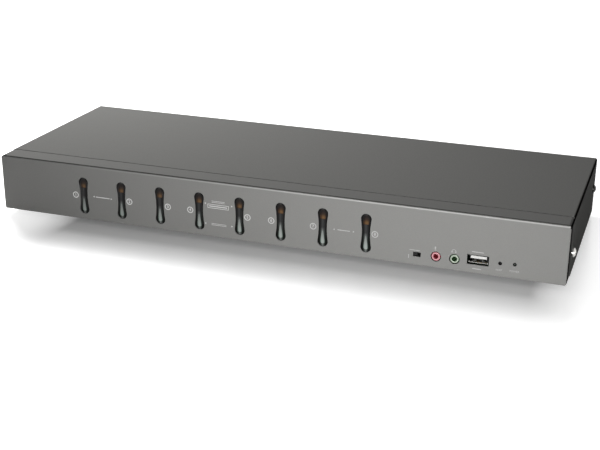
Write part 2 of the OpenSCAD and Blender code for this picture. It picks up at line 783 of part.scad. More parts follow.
// Clear moulding with two windows, joined behind the key
module light_guide(i) color([0.45, 0.22, 0.05]) in_case() translate([key_x(i), 0, key_z]) {
    web = [key_waist - 2 * guide_side, 2 * (window_edge + guide_lap)];
    intersection() {
        for (side = [-1, 1]) along_y(-key_proud, guide_front) key_window(side, -touch);
        key_face();
    }
    for (side = [-1, 1]) along_y(guide_front - touch, guide_back) intersection() {
        key_window(side, -touch);
        key_end_half(side, -touch);
    }
    difference() {
        along_y(key_back, guide_front) square(web, center = true);
        bar_y(0, 0, stem_r + clear_gap, key_back - cut, guide_front + cut);
    }
}

module key_board() color([0.05, 0.25, 0.12]) in_case() difference() {
    block(key_bay, [key_board_y, key_board_y + board_t], [key_bay_edge, body_h - key_bay_edge]);
    for (at = key_boss_spots)
        bar_y(at[0], at[1], shank_r + clear_gap, key_board_y - cut, key_board_y + board_t + cut);
}

module key_switches() color([0.12, 0.12, 0.13]) in_case()
    for (i = [1:port_count]) difference() {
        block(about(key_x(i), switch_size), [switch_front, key_board_y], about(key_z, switch_size));
        bar_y(key_x(i), key_z, stem_r + run_gap, switch_front - cut, key_board_y - switch_floor);
    }

module port_leds() color([0.9, 0.88, 0.8]) in_case()
    for (i = [1:port_count], side = [-1, 1])
        block(about(key_x(i), led_size[0]), [key_board_y - led_size[1], key_board_y],
              about(key_z + side * key_a, led_size[2]));

// Front sockets and controls

module mode_switch_body() color([0.05, 0.05, 0.05]) in_case() difference() {
    block(about(mode_x, mode_body[0]), [mode_body_y, mode_body_y + mode_body[1]],
          [lower_top, mode_z + mode_body[2] / 2]);
    block(about(mode_x, mode_slot_w), [mode_body_y - cut, mode_pocket_end], about(mode_z, mode_pocket_h));
}

// Ribbed knob, drawn at the left end of its slot
module mode_switch_slider() color([0.10, 0.10, 0.10]) in_case() {
    left = mode_x - mode_slot_w / 2 + mode_end;
    middle = left + mode_knob_w / 2;
    difference() {
        block([left, left + mode_knob_w], [mode_tip, mode_pocket_end - run_gap],
              about(mode_z, mode_knob_h));
        for (k = [-1:1])
            block(about(middle + mode_ridge_pitch * k, mode_ridge), [mode_tip - cut, mode_tip + mode_ridge],
                  about(mode_z, mode_slot_h));
    }
}

module reset_switch() color([0.10, 0.10, 0.10]) in_case() difference() {
    block(about(reset_x, reset_body[0]), [reset_body_y, reset_body_y + reset_body[1]],
          [lower_top, lower_top + reset_body[2]]);
    bar_y(reset_x, reset_z, reset_r + run_gap, reset_body_y - cut, reset_floor);
}

module reset_button() color([0.02, 0.02, 0.02]) in_case()
    bar_y(reset_x, reset_z, reset_r, reset_tip, reset_floor - reset_travel - run_gap);

// Lamp lens in a right-angle holder
module power_lamp() color([0.05, 0.06, 0.05]) in_case() {
    holder_y = shelf_y - lamp_holder[2];
    bar_y(lamp_x, lamp_z, lamp_r, lamp_dome_y, holder_y + touch);
    intersection() {
        translate([lamp_x, lamp_dome_y, lamp_z]) sphere(r = lamp_r);
        block(about(lamp_x, 4 * lamp_r), [-lamp_r, lamp_dome_y + touch], about(lamp_z, 4 * lamp_r));
    }
    block(about(lamp_x, lamp_holder[0]), [holder_y, holder_y + lamp_holder[1]],
          [lower_top, lamp_z + lamp_holder[0] / 2]);
}

// Audio jack with its nose towards -y, at the origin on its axis
module jack(body_bottom) {
    difference() {
        union() {
            bar_y(0, 0, jack_nose_r, 0, nose_len);
            block(about(0, jack_w), [nose_len, jack_bore_len + jack_wall],
                  [body_bottom, body_bottom + jack_h]);
        }
        bar_y(0, 0, jack_bore_r, -cut, jack_bore_len);
    }
}

// The front jack and all rear jacks of one colour
module jack_set(front_x, rear_spots) {
    translate([front_x, nose_y, jack_z]) jack(lower_top - jack_z);
    for (x = rear_spots) translate([x, body_d + jack_proud, rear_jack_z]) rotate([0, 0, 180])
        jack(lower_top - rear_jack_z);
}

module mic_jacks() color([0.85, 0.35, 0.42]) in_case() jack_set(mic_x, mic_spots);

module speaker_jacks() color([0.55, 0.72, 0.50]) in_case() jack_set(speaker_x, speaker_spots);

// USB type A shell, mouth towards -y; its legs reach down to what carries it
module usb_a_shell(leg) {
    difference() {
        block(about(0, usb_a_w), [0, usb_len], about(0, usb_a_h));
        block(about(0, usb_a_w - 2 * shell_t), [-cut, usb_len - shell_t], about(0, usb_a_h - 2 * shell_t));
    }
    for (side = [-1, 1], y = [usb_leg[0], usb_len - usb_leg[1]])
        block(about(side * (usb_a_w / 2 - shell_t), 2 * shell_t), about(y, usb_leg_w),
              [-leg, -usb_a_h / 2 + shell_t / 2]);
}

// White tongue on a root that fills the back of the shell
module usb_a_tongue() {
    root_end = usb_len - shell_t - touch;
    inside = [usb_a_w - 2 * shell_t - 2 * touch, usb_a_h - 2 * shell_t - 2 * touch];
    block(about(0, inside[0]), [root_end - tongue_root, root_end], about(0, inside[1]));
    block(about(0, inside[0] - tongue_gap), [tongue_back, root_end - touch], about(tongue_lift, tongue_t));
}

module usb_a_shells() color([0.72, 0.72, 0.72]) in_case() {
    step = console_usb_z[1] - console_usb_z[0] - usb_a_h / 2;
    legs = [console_usb_z[0] - lower_top, step];
    translate([usb_x, shell_y, usb_z]) usb_a_shell(usb_z - lower_top);
    for (k = [0, 1]) translate([console_usb_x, body_d + socket_proud, console_usb_z[k]])
        rotate([0, 0, 180]) usb_a_shell(legs[k]);
}

module usb_a_tongues() color([0.92, 0.92, 0.90]) in_case() {
    translate([usb_x, shell_y, usb_z]) usb_a_tongue();
    for (z = console_usb_z) translate([console_usb_x, body_d + socket_proud, z])
        rotate([0, 0, 180]) usb_a_tongue();
}

// Rear sockets

// Sheet shell through the panel, with a flange behind it
module dvi_shells() color([0.72, 0.72, 0.72]) in_case()
    for (x = dvi_x) translate([x, 0, dvi_z]) difference() {
        back = panel_in - dvi_flange[1];
        union() {
            along_y(back, body_d + dvi_reach) polygon(dvi_outline(0));
            block(about(0, dvi_flange[0]), [back, panel_in], about(0, dvi_flange[2]));
        }
        along_y(back - cut, body_d + dvi_reach + cut) polygon(dvi_outline(-dvi_wall));
        for (side = [-1, 1])
            bar_y(side * nut_spacing / 2, 0, nut_stud_r + thread_gap, back - cut, body_d);
    }

// Moulded contact block that fills a video socket's shell
module dvi_inserts() color([0.90, 0.90, 0.88]) in_case()
    for (x = dvi_x) translate([x, 0, dvi_z]) difference() {
        face = body_d + dvi_reach - dvi_recess;
        back = panel_in - dvi_flange[1];
        deep = [face - contact_deep, face + cut];
        union() {
            along_y(back - touch, face) polygon(dvi_outline(-dvi_wall - touch));
            block(about(0, dvi_block[0]), [back - dvi_block[1], back], about(0, dvi_block[2]));
        }
        for (row = [0:contact_rows - 1], column = [0:contact_columns - 1])
            block(about(contact_first - contact_pitch * column, contact), deep,
                  about(contact_pitch * (row - (contact_rows - 1) / 2), contact));
        block(about(blade_x, blade[0]), deep, about(0, blade[1]));
        block(about(blade_x, blade[1]), deep, about(0, blade[0]));
    }

module jack_nuts() color([0.75, 0.75, 0.74]) in_case()
    for (x = dvi_x, side = [-1, 1]) translate([x + side * nut_spacing / 2, 0, dvi_z]) difference() {
        union() {
            translate([0, body_d, 0]) rotate([-90, 0, 0])
                cylinder(d = nut_flats / cos(30), h = nut_len, $fn = 6);
            bar_y(0, 0, nut_stud_r, panel_in - nut_stud_len, body_d + touch);
        }
        bar_y(0, 0, nut_hole_r, body_d + nut_floor, body_d + nut_len + cut);
    }

module usb_b_shells() color([0.72, 0.72, 0.72]) in_case()
    for (x = usb_b_spots) translate([x, body_d + socket_proud, usb_b_z]) difference() {
        block(about(0, usb_b_w), [-usb_b_len, 0], about(0, usb_b_h));
        along_y(-usb_b_len + usb_b_floor, cut)
            polygon(clipped_rect(usb_b_mouth[0], -usb_b_mouth[1] / 2, usb_b_mouth[1] / 2, usb_b_corner));
    }

module usb_b_cores() color([0.92, 0.92, 0.90]) in_case()
    for (x = usb_b_spots) translate([x, body_d + socket_proud, usb_b_z])
        block(about(0, usb_b_core[0]), [usb_b_floor - usb_b_len, -usb_b_core_back],
              about(0, usb_b_core[1]));

// Modular socket with a notch for the plug's latch
module upgrade_socket() color([0.10, 0.10, 0.11]) in_case()
    translate([rj_x, body_d + socket_proud, rj_z]) difference() {
        block(about(0, rj_w), [-rj_len, 0], about(0, rj_h));
        block(about(0, rj_mouth[0]), [-rj_len + rj_floor, cut], about(rj_lift, rj_mouth[1]));
        block(about(0, rj_notch[0]), [-rj_notch[1], cut], [-rj_mouth[1] / 2 - rj_notch[2], 0]);
    }

// Power

module mains_inlet() color([0.06, 0.06, 0.06]) in_case() translate([inlet_x, 0, power_z]) {
    mouth = [inlet_w - 2 * inlet_wall, inlet_h - 2 * inlet_wall];
    floor_y = body_d - inlet_len + inlet_floor;
    slot = 2 * touch;
    difference() {
        union() {
            along_y(body_d, body_d + inlet_lip)
                polygon(round_rect(inlet_flange_w, inlet_flange_h, inlet_corner_r));
            block(about(0, inlet_w), [body_d - inlet_len, body_d + touch], about(0, inlet_h));
        }
        along_y(floor_y, body_d + inlet_lip + cut)
            polygon(clipped_rect(mouth[0], -mouth[1] / 2, mouth[1] / 2, inlet_mouth_corner));
        for (at = pin_spots)
            block(about(at[0], pin_size[0] + slot), [body_d - inlet_len - cut, floor_y + cut],
                  about(at[1], pin_size[1] + slot));
    }
}

module mains_pins() color([0.76, 0.76, 0.74]) in_case() translate([inlet_x, 0, power_z])
    for (at = pin_spots)
        block(about(at[0], pin_size[0]), [body_d - inlet_len - pin_tail, body_d - pin_back],
              about(at[1], pin_size[1]));

module power_switch_body() color([0.06, 0.06, 0.06]) in_case() translate([switch_x, 0, power_z]) {
    back = body_d - switch_body[1];
    difference() {
        union() {
            along_y(body_d, body_d + switch_lip)
                polygon(round_rect(switch_flange_w, switch_flange_h, switch_corner_r));
            block(about(0, switch_body[0]), [back, body_d + touch], about(0, switch_body[2]));
        }
        block(about(0, switch_mouth[0]), [back + switch_back, body_d + switch_lip + cut],
              about(0, switch_mouth[1]));
        translate([0, body_d, 0]) rotate([0, 90, 0])
            cylinder(r = pivot_r + pivot_fit, h = rocker_w + 2 * (pivot_len + pivot_end), center = true);
    }
}

// Rocker drawn level, then set to its off position about its pivot
module power_rocker() color([0.04, 0.04, 0.04]) in_case() translate([switch_x, body_d, power_z])
    rotate([-rocker_swing / 2, 0, 0]) {
        crest = rocker_rise + rocker_half * tan(rocker_swing / 2);
        toe = rocker_half * rocker_foot;
        rotate([90, 0, 90]) linear_extrude(rocker_w, center = true) polygon([
            [rocker_rise, 0], [crest, rocker_half], [0, rocker_half], [-rocker_deep, toe],
            [-rocker_deep, -toe], [0, -rocker_half], [crest, -rocker_half]
        ]);
        rotate([0, 90, 0]) cylinder(r = pivot_r, h = rocker_w + 2 * pivot_len, center = true);
    }

module ground_screw() color([0.75, 0.72, 0.62]) in_case() translate([switch_x, body_d, ground_z])
    rotate([90, 0, 0]) screw(ground_head, shank_r, sheet + board_bite);

// Boards

module lower_board() color([0.05, 0.25, 0.12]) in_case() difference() {
    union() {
        block(lower_x, [lower_front, board_back], [lower_z, lower_top]);
        block(shelf_x, [shelf_y, shelf_y + shelf_d], [lower_z, lower_top]);
    }
    for (at = concat(pillar_spots, front_spacer_spots)) hole_z(at, shank_r + clear_gap, lower_z, lower_top);
}

module upper_board() color([0.05, 0.25, 0.12]) in_case() difference() {
    block(upper_x, [board_back - upper_d, board_back], [upper_z, upper_top]);
    for (at = pillar_spots) hole_z(at, shank_r + clear_gap, upper_z, upper_top);
}

module power_board() color([0.30, 0.26, 0.10]) in_case() difference() {
    block(power_x, power_y, [lower_z, lower_top]);
    for (at = power_spacer_spots) hole_z(at, shank_r + clear_gap, lower_z, lower_top);
}

// Spacers on the tray's floor and tall pillars between the two large boards
module board_pillars() color([0.72, 0.65, 0.40]) in_case() {
    for (at = concat(pillar_spots, front_spacer_spots, power_spacer_spots)) pillar(at, sheet, lower_z);
    for (at = pillar_spots) pillar(at, lower_top, upper_z);
}

module pillar(at, z0, z1) {
    difference() {
        translate([at[0], at[1], z0]) cylinder(r = pillar_r, h = z1 - z0, $fn = 6);
        hole_z(at, shank_r + thread_gap, z0, z1);
    }
}

module board_screws() color([0.7, 0.7, 0.69]) in_case() {
    for (at = pillar_spots) board_screw(at, upper_top);
    for (at = concat(front_spacer_spots, power_spacer_spots)) board_screw(at, lower_top);
    for (at = key_boss_spots) translate([at[0], key_board_y + board_t, at[1]])
        rotate([90, 0, 0]) screw(small_head, shank_r, board_t + board_bite);
}

// Screw from above, short enough to end inside the lowest spacer
module board_screw(at, z) {
    length = board_t + spacer_h - screw_short;
    translate([at[0], at[1], z]) rotate([180, 0, 0]) screw(small_head, shank_r, length);
}

// Ferrite core on a foot, with its winding across the middle
module transformer() color([0.75, 0.62, 0.15]) in_case() {
    root = lower_top + transformer_foot[2] - touch;
    block(about(transformer_x, transformer_foot[0]), about(transformer_y, transformer_foot[1]),
          [lower_top, lower_top + transformer_foot[2]]);
    for (form = [transformer_core, transformer_coil])
        block(about(transformer_x, form[0]), about(transformer_y, form[1]), [root, lower_top + form[2]]);
}

module capacitors() color([0.10, 0.12, 0.25]) in_case()
    for (k = [0:len(capacitor_sizes) - 1])
        translate([capacitor_x, capacitor_y + capacitor_pitch * k, lower_top])
            cylinder(r = capacitor_sizes[k][0], h = capacitor_sizes[k][1]);

module switch_chips() color([0.07, 0.07, 0.08]) in_case()
    for (at = chip_spots)
        block(about(at[0], chip_size[0]), about(at[1], chip_size[1]),
              [upper_top, upper_top + chip_size[2]]);

// Finned coolers on the large chips
module chip_coolers() color([0.60, 0.60, 0.62]) in_case()
    for (at = chip_spots) {
        bottom = upper_top + chip_size[2];
        top = bottom + cooler_size[2];
        block(about(at[0], cooler_size[0]), about(at[1], cooler_size[1]), [bottom, top]);
        for (k = [-fins_each_side:fins_each_side])
            block(about(at[0] + fin_pitch * k, fin[0]), about(at[1], cooler_size[1]),
                  [top - touch, top + fin[1]]);
    }

module board_link() color([0.08, 0.08, 0.09]) in_case()
    block(about(port_x((port_count + 1) / 2), link_size[0]), about(link_y, link_size[1]),
          [lower_top, upper_z]);

// Flat cable with its plug and socket, from the key board's back to the lower board
module key_cable() color([0.62, 0.62, 0.62]) in_case() {
    start = key_board_y + board_t;
    drop = cable_landing + cable_socket[0] / 2;
    flat = about(cable_x, cable_w - 2 * cable_lap);
    block(about(cable_x, cable_w), [start, start + cable_plug[0]], about(cable_z, cable_plug[1]));
    block(flat, [start + touch, drop], about(cable_z, cable_t));
    block(flat, about(drop, cable_t), [lower_top + touch, cable_z + cable_t / 2]);
    block(about(cable_x, cable_w), [cable_landing, cable_landing + cable_socket[0]],
          [lower_top, lower_top + cable_socket[1]]);
}

// Drawing, one line for each node

front_bezel();
top_cover();
base_tray();
rear_panel();
rubber_feet();
side_screws();
base_screws();
bezel_screws();
for (i = [1:port_count]) port_key(i);
for (i = [1:port_count]) light_guide(i);
key_board();
key_switches();
port_leds();
mode_switch_body();
mode_switch_slider();
reset_switch();
reset_button();
power_lamp();
mic_jacks();
speaker_jacks();
usb_a_shells();
usb_a_tongues();
dvi_shells();
dvi_inserts();
jack_nuts();
usb_b_shells();
usb_b_cores();
upgrade_socket();
mains_inlet();
mains_pins();
power_switch_body();
power_rocker();
ground_screw();
lower_board();
upper_board();
board_pillars();
board_screws();
power_board();
transformer();
capacitors();
switch_chips();
chip_coolers();
board_link();
key_cable();
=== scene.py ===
import math

import bpy
from mathutils import Matrix, Vector


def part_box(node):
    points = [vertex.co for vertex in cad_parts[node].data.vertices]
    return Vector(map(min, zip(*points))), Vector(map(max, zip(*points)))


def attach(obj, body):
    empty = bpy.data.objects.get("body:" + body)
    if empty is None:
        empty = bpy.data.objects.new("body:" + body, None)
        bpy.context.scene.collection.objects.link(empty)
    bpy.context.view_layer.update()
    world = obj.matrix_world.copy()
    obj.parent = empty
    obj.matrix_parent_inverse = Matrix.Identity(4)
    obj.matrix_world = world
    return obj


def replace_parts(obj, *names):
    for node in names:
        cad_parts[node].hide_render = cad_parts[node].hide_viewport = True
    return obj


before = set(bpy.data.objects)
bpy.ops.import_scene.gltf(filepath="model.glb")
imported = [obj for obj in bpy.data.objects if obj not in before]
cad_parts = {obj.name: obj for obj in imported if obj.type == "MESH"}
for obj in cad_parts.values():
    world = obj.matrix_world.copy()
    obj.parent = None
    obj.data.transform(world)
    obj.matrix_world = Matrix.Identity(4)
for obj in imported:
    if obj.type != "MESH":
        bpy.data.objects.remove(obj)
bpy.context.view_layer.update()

# Steel case
# Tray, cover and rear panel are folded from 1 mm steel sheet and powder coated in satin gunmetal.
# The cover slips over the tray, and the panel's foot is screwed to the tray's floor.


def finish_tree(name):
    """A new material, its node tree, its shader and the piece's own coordinates."""
    finish = bpy.data.materials.new(name)
    finish.use_nodes = True
    tree = finish.node_tree
    coords = tree.nodes.new("ShaderNodeTexCoord")
    return finish, tree, tree.nodes["Principled BSDF"], coords.outputs["Object"]


def grain(tree, where, per_metre, stretch=(1, 1, 1)):
    """Fine noise, so many grains to the metre, drawn out along an axis by a stretch below 1."""
    mapping = tree.nodes.new("ShaderNodeMapping")
    mapping.inputs["Scale"].default_value = stretch
    noise = tree.nodes.new("ShaderNodeTexNoise")
    noise.inputs["Scale"].default_value = per_metre
    noise.inputs["Detail"].default_value = 3.0
    tree.links.new(where, mapping.inputs["Vector"])
    tree.links.new(mapping.outputs["Vector"], noise.inputs["Vector"])
    return noise.outputs["Fac"]


def shades(tree, fac, stops):
    """Colours along a number from 0 to 1."""
    ramp = tree.nodes.new("ShaderNodeValToRGB")
    while len(ramp.color_ramp.elements) < len(stops):
        ramp.color_ramp.elements.new(1.0)
    for element, (at, colour) in zip(ramp.color_ramp.elements, stops):
        element.position = at
        element.color = (*colour, 1)
    tree.links.new(fac, ramp.inputs["Fac"])
    return ramp.outputs["Color"]


def spread(tree, fac, low, high, start=0.3, end=0.7):
    """A number that runs from low to high as fac runs from start to end."""
    reach = tree.nodes.new("ShaderNodeMapRange")
    for socket, value in (("From Min", start), ("From Max", end), ("To Min", low), ("To Max", high)):
        reach.inputs[socket].default_value = value
    tree.links.new(fac, reach.inputs["Value"])
    return reach.outputs["Result"]


def sum_of(tree, operation, first, second):
    """A sum, product or other operation on a socket and a number or another socket."""
    sum_node = tree.nodes.new("ShaderNodeMath")
    sum_node.operation = operation
    tree.links.new(first, sum_node.inputs[0])
    if isinstance(second, (int, float)):
        sum_node.inputs[1].default_value = second
    else:
        tree.links.new(second, sum_node.inputs[1])
    return sum_node.outputs[0]


def emboss(tree, shader, height, depth):
    """Raises the surface by depth metres where height is 1."""
    bump = tree.nodes.new("ShaderNodeBump")
    bump.inputs["Distance"].default_value = depth
    tree.links.new(height, bump.inputs["Height"])
    tree.links.new(bump.outputs["Normal"], shader.inputs["Normal"])


def make_finish(name, dark, light, rough, per_metre, depth, stretch=(1, 1, 1), **fixed):
    """A finish whose colour and roughness vary with its grain, which stands depth metres high."""
    finish, tree, shader, where = finish_tree(name)
    fine = grain(tree, where, per_metre, stretch)
    tree.links.new(shades(tree, fine, [(0.3, dark), (0.7, light)]), shader.inputs["Base Color"])
    tree.links.new(spread(tree, fine, *rough), shader.inputs["Roughness"])
    emboss(tree, shader, fine, depth)
    for socket, value in fixed.items():
        shader.inputs[socket.replace("_", " ")].default_value = value
    return finish


def laid_over(tree, cover, under, over, way="MIX"):
    """A colour over another, as far as cover says, or wholly where cover is 1."""
    mix = tree.nodes.new("ShaderNodeMix")
    mix.data_type = "RGBA"
    mix.blend_type = way
    for socket, value in (("Factor", cover), ("A", under), ("B", over)):
        if isinstance(value, (int, float, tuple)):
            mix.inputs[socket].default_value = value
        else:
            tree.links.new(value, mix.inputs[socket])
    return mix.outputs["Result"]


def tint(finish, colour, masks):
    """Lays a colour over a finish where all the masks hold.

    A mask (axis, start, end) rises from 0 at start to 1 at end. Written |axis, it holds on both sides.
    """
    tree = finish.node_tree
    base = tree.nodes["Principled BSDF"].inputs["Base Color"]
    split = tree.nodes.new("ShaderNodeSeparateXYZ")
    tree.links.new(tree.nodes["Texture Coordinate"].outputs["Object"], split.inputs["Vector"])
    cover = None
    for axis, start, end in masks:
        level = split.outputs[axis[-1]]
        if axis.startswith("|"):
            level = sum_of(tree, "MAXIMUM", level, sum_of(tree, "MULTIPLY", level, -1.0))
        level = spread(tree, level, 0.0, 1.0, start, end)
        cover = level if cover is None else sum_of(tree, "MULTIPLY", cover, level)
    tree.links.new(laid_over(tree, cover, base.links[0].from_socket, (*colour, 1)), base)


def dress(finish, *names):
    """Gives CAD nodes their finish."""
    for name in names:
        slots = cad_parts[name].data.materials
        slots.clear()
        slots.append(finish)


case_z, case_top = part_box("front_bezel")[0].z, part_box("front_bezel")[1].z
case_side, case_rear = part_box("front_bezel")[1].x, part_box("top_cover")[1].y
case_paint = make_finish("case_paint", (0.172, 0.172, 0.166), (0.204, 0.203, 0.195), (0.55, 0.65),
                         2600, 0.00001, Specular_IOR_Level=0.0)
# The paint is near black along the fold between top and sides, a painted shade line for the fold's dark
# rounding.
painted_shade_line, fold_w, fold_h, fold_soft = (0.008, 0.008, 0.0075), 0.0006, 0.0022, 0.0004
fold_aside = ("|X", case_side - fold_w - fold_soft, case_side - fold_w)
fold_high = ("Z", case_top - fold_h - fold_soft, case_top - fold_h)
fold_end = ("Y", case_rear - fold_soft, case_rear - 2 * fold_soft)
tint(case_paint, painted_shade_line, [fold_aside, fold_high, fold_end])
dress(case_paint, "base_tray", "rear_panel", "top_cover")

# Boards inside the case
# Green fibre-glass boards with their parts, a tan power board, and the flat cable to the key board.
# They stand on brass spacers and pillars, held by small nickel-plated screws.


def nickel_plate(name):
    """Bright nickel plating, made anew for pieces that are tinted in a way of their own."""
    return make_finish(name, (0.60, 0.59, 0.56), (0.72, 0.71, 0.68), (0.20, 0.30), 3000, 0.000004,
                       Metallic=1.0)


board = make_finish("board", (0.012, 0.085, 0.035), (0.030, 0.14, 0.06), (0.25, 0.45), 700, 0.00002)
board_tan = make_finish("board_tan", (0.26, 0.18, 0.07), (0.36, 0.26, 0.11), (0.4, 0.6), 800, 0.00002)
winding = make_finish("winding", (0.50, 0.36, 0.05), (0.62, 0.48, 0.09), (0.35, 0.5), 2500, 0.00005,
                      stretch=(1, 1, 0.05))
capacitor = make_finish("capacitor", (0.010, 0.014, 0.05), (0.02, 0.03, 0.09), (0.2, 0.3), 600, 0.000005)
cooler = make_finish("cooler", (0.42, 0.42, 0.43), (0.55, 0.55, 0.56), (0.3, 0.45), 2500, 0.00001,
                     stretch=(1, 0.05, 1), Metallic=1.0)
grey_plastic = make_finish("grey_plastic", (0.32, 0.32, 0.32), (0.42, 0.42, 0.42), (0.4, 0.55), 2000, 0.00003,
                           stretch=(1, 0.05, 0.05))
led = make_finish("led", (0.70, 0.66, 0.55), (0.80, 0.77, 0.66), (0.1, 0.2), 1500, 0.000003)
black_plastic = make_finish("black_plastic", (0.006, 0.006, 0.006), (0.013, 0.013, 0.013), (0.42, 0.55),
                            3500, 0.000008, Specular_IOR_Level=0.15)
brass = make_finish("brass", (0.42, 0.33, 0.12), (0.52, 0.42, 0.18), (0.25, 0.38), 2500, 0.000005,
                    Metallic=1.0)
nickel = nickel_plate("nickel")
dress(board, "key_board", "lower_board", "upper_board")
dress(board_tan, "power_board")
dress(winding, "transformer")
dress(capacitor, "capacitors")
dress(cooler, "chip_coolers")
dress(grey_plastic, "key_cable")
dress(led, "port_leds")
dress(black_plastic, "switch_chips", "board_link", "key_switches")
dress(brass, "board_pillars")
dress(nickel, "board_screws")

# Audio jacks
# Moulded jacks in the colours that tell microphone from loudspeaker, soldered to the lower board.
# Each nose ends in a lip with rounded edges, coloured much paler than the jack as a painted highlight, which
# shows in the bezel's or the panel's hole.
jack_pink = make_finish("jack_pink", (0.38, 0.030, 0.050), (0.46, 0.050, 0.075), (0.35, 0.45), 2000, 0.000006)
jack_green = make_finish("jack_green", (0.050, 0.130, 0.050), (0.075, 0.170, 0.070), (0.35, 0.45),
                         2000, 0.000006)
# The lips' pale colours are painted highlights on the jacks' own pink and green.
painted_highlight_pink = make_finish("painted_highlight_pink", (0.42, 0.185, 0.205), (0.49, 0.225, 0.245), (0.30, 0.42), 2400, 0.000005)
painted_highlight_green = make_finish("painted_highlight_green", (0.245, 0.290, 0.228), (0.29, 0.335, 0.270), (0.30, 0.42),
                         2400, 0.000005)
dress(jack_pink, "mic_jacks")
dress(jack_green, "speaker_jacks")
lip_outer_r, lip_inner_r, lip_rise, lip_round = 0.00295, 0.00185, 0.00025, 0.00010
front_jack_z, rear_jack_z = case_z + 0.0087, case_z + 0.0104
front_mic_x, front_speaker_x = 0.1269, 0.1399
first_port_x, port_pitch, port_count, console_x = -0.1909, 0.0392, 8, 0.13205
port_x = [first_port_x + port_pitch * i for i in range(port_count)]
mic_from_port, speaker_from_port = 0.0034, 0.0122
mic_from_console, speaker_from_console = -0.0060, 0.0030
mic_x = [x + mic_from_port for x in port_x] + [console_x + mic_from_console]
speaker_x = [x + speaker_from_port for x in port_x] + [console_x + speaker_from_console]
to_front = (math.radians(90), 0, 0)
ring_corners, rounded_from, smooth_below = 40, math.radians(40), math.radians(35)


def alone(piece=None):
    """Selects one piece, or none."""
    if bpy.context.object and bpy.context.object.mode != "OBJECT":
        bpy.ops.object.mode_set(mode="OBJECT")
    bpy.ops.object.select_all(action="DESELECT")
    if piece:
        piece.select_set(True)
        bpy.context.view_layer.objects.active = piece


def worked(piece, modifier, **settings):
    """Adds a modifier to a piece with its settings and applies it."""
    alone(piece)
    bpy.ops.object.modifier_add(type=modifier)
    added = piece.modifiers[-1]
    for setting, value in settings.items():
        setattr(added, setting, value)
    bpy.ops.object.modifier_apply(modifier=added.name)
    return piece


def settled():
    """Puts the new piece's place, turn and size into its mesh."""
    bpy.ops.object.transform_apply(location=True, rotation=True, scale=True)
    return bpy.context.object


def flat_ring(place, turn, outer_r, inner_r, rise, upper_half=False):
    """A flat ring, or the half of one that is above its middle."""
    alone()
    bpy.ops.mesh.primitive_circle_add(vertices=ring_corners, radius=outer_r, fill_type="NGON",
                                      location=place, rotation=turn)
    ring = settled()
    bpy.ops.object.mode_set(mode="EDIT")
    bpy.ops.mesh.inset(thickness=outer_r - inner_r)
    bpy.ops.mesh.delete(type="FACE")
    if upper_half:
        bpy.ops.mesh.select_all(action="SELECT")
        bpy.ops.mesh.bisect(plane_co=place, plane_no=(0, 0, 1), clear_inner=True)
    bpy.ops.object.mode_set(mode="OBJECT")
    return worked(ring, "SOLIDIFY", thickness=rise, offset=1)


def placed(model, spots):
    """Copies of a model that faces the front at the origin, each with its own mesh.

    A spot is (place, faces the rear).
    """
    copies = []
    for place, rear in spots:
        alone(model)
        bpy.ops.object.duplicate()
        bpy.context.object.location = place
        bpy.context.object.rotation_euler.z = math.pi if rear else 0.0
        copies.append(settled())
    bpy.data.objects.remove(model)
    return copies


def together(pieces):
    """Makes one piece of several."""
    alone(pieces[0])
    for piece in pieces[1:]:
        piece.select_set(True)
    if len(pieces) > 1:
        bpy.ops.object.join()
    return bpy.context.object


def joined(pieces, name, finish, body="case"):
    """Makes one piece of several, with its name, finish and body."""
    whole = together(pieces)
    whole.name = name
    whole.data.name = name
    whole.data.materials.clear()
    whole.data.materials.append(finish)
    bpy.ops.object.shade_smooth_by_angle(angle=smooth_below)
    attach(whole, body)
    return whole


def jack_lips(node, front_x, rear_x, name, finish):
    """A lip on the nose of each jack of one colour."""
    front_end, rear_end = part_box(node)[0].y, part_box(node)[1].y
    lip = flat_ring((0, 0, 0), to_front, lip_outer_r, lip_inner_r, lip_rise)
    worked(lip, "BEVEL", width=lip_round, segments=2, limit_method="ANGLE", angle_limit=rounded_from)
    spots = [((front_x, front_end, front_jack_z), False)]
    spots += [((x, rear_end, rear_jack_z), True) for x in rear_x]
    joined(placed(lip, spots), name, finish)


jack_lips("mic_jacks", front_mic_x, mic_x, "mic_jack_lips", painted_highlight_pink)
jack_lips("speaker_jacks", front_speaker_x, speaker_x, "speaker_jack_lips", painted_highlight_green)

# USB sockets
# Folded nickel-plated shells around white contact carriers, with gold-plated contacts on these.
# The type A shells have two sprung leaves pressed into their lower wall, which grip the plug.
white_plastic = make_finish("white_plastic", (0.46, 0.46, 0.445), (0.54, 0.54, 0.525), (0.35, 0.5),
                            2000, 0.000006)
gold = make_finish("gold", (0.72, 0.50, 0.17), (0.82, 0.60, 0.24), (0.18, 0.28), 3000, 0.000003, Metallic=1.0)
# The sprung leaves' nickel is painted dark, as painted shade for their place inside the shell.
painted_shade_nickel = make_finish("painted_shade_nickel", (0.12, 0.12, 0.115), (0.16, 0.16, 0.152), (0.30, 0.42),
                          3000, 0.000004, Metallic=1.0)
shell_nickel = nickel_plate("shell_nickel")
front_mouth, rear_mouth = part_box("usb_a_shells")[0].y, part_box("usb_a_shells")[1].y
front_usb_x, front_usb_z = 0.1560, case_z + 0.0102
console_usb_x, console_usb_z = 0.11305, (case_z + 0.0094, case_z + 0.0168)
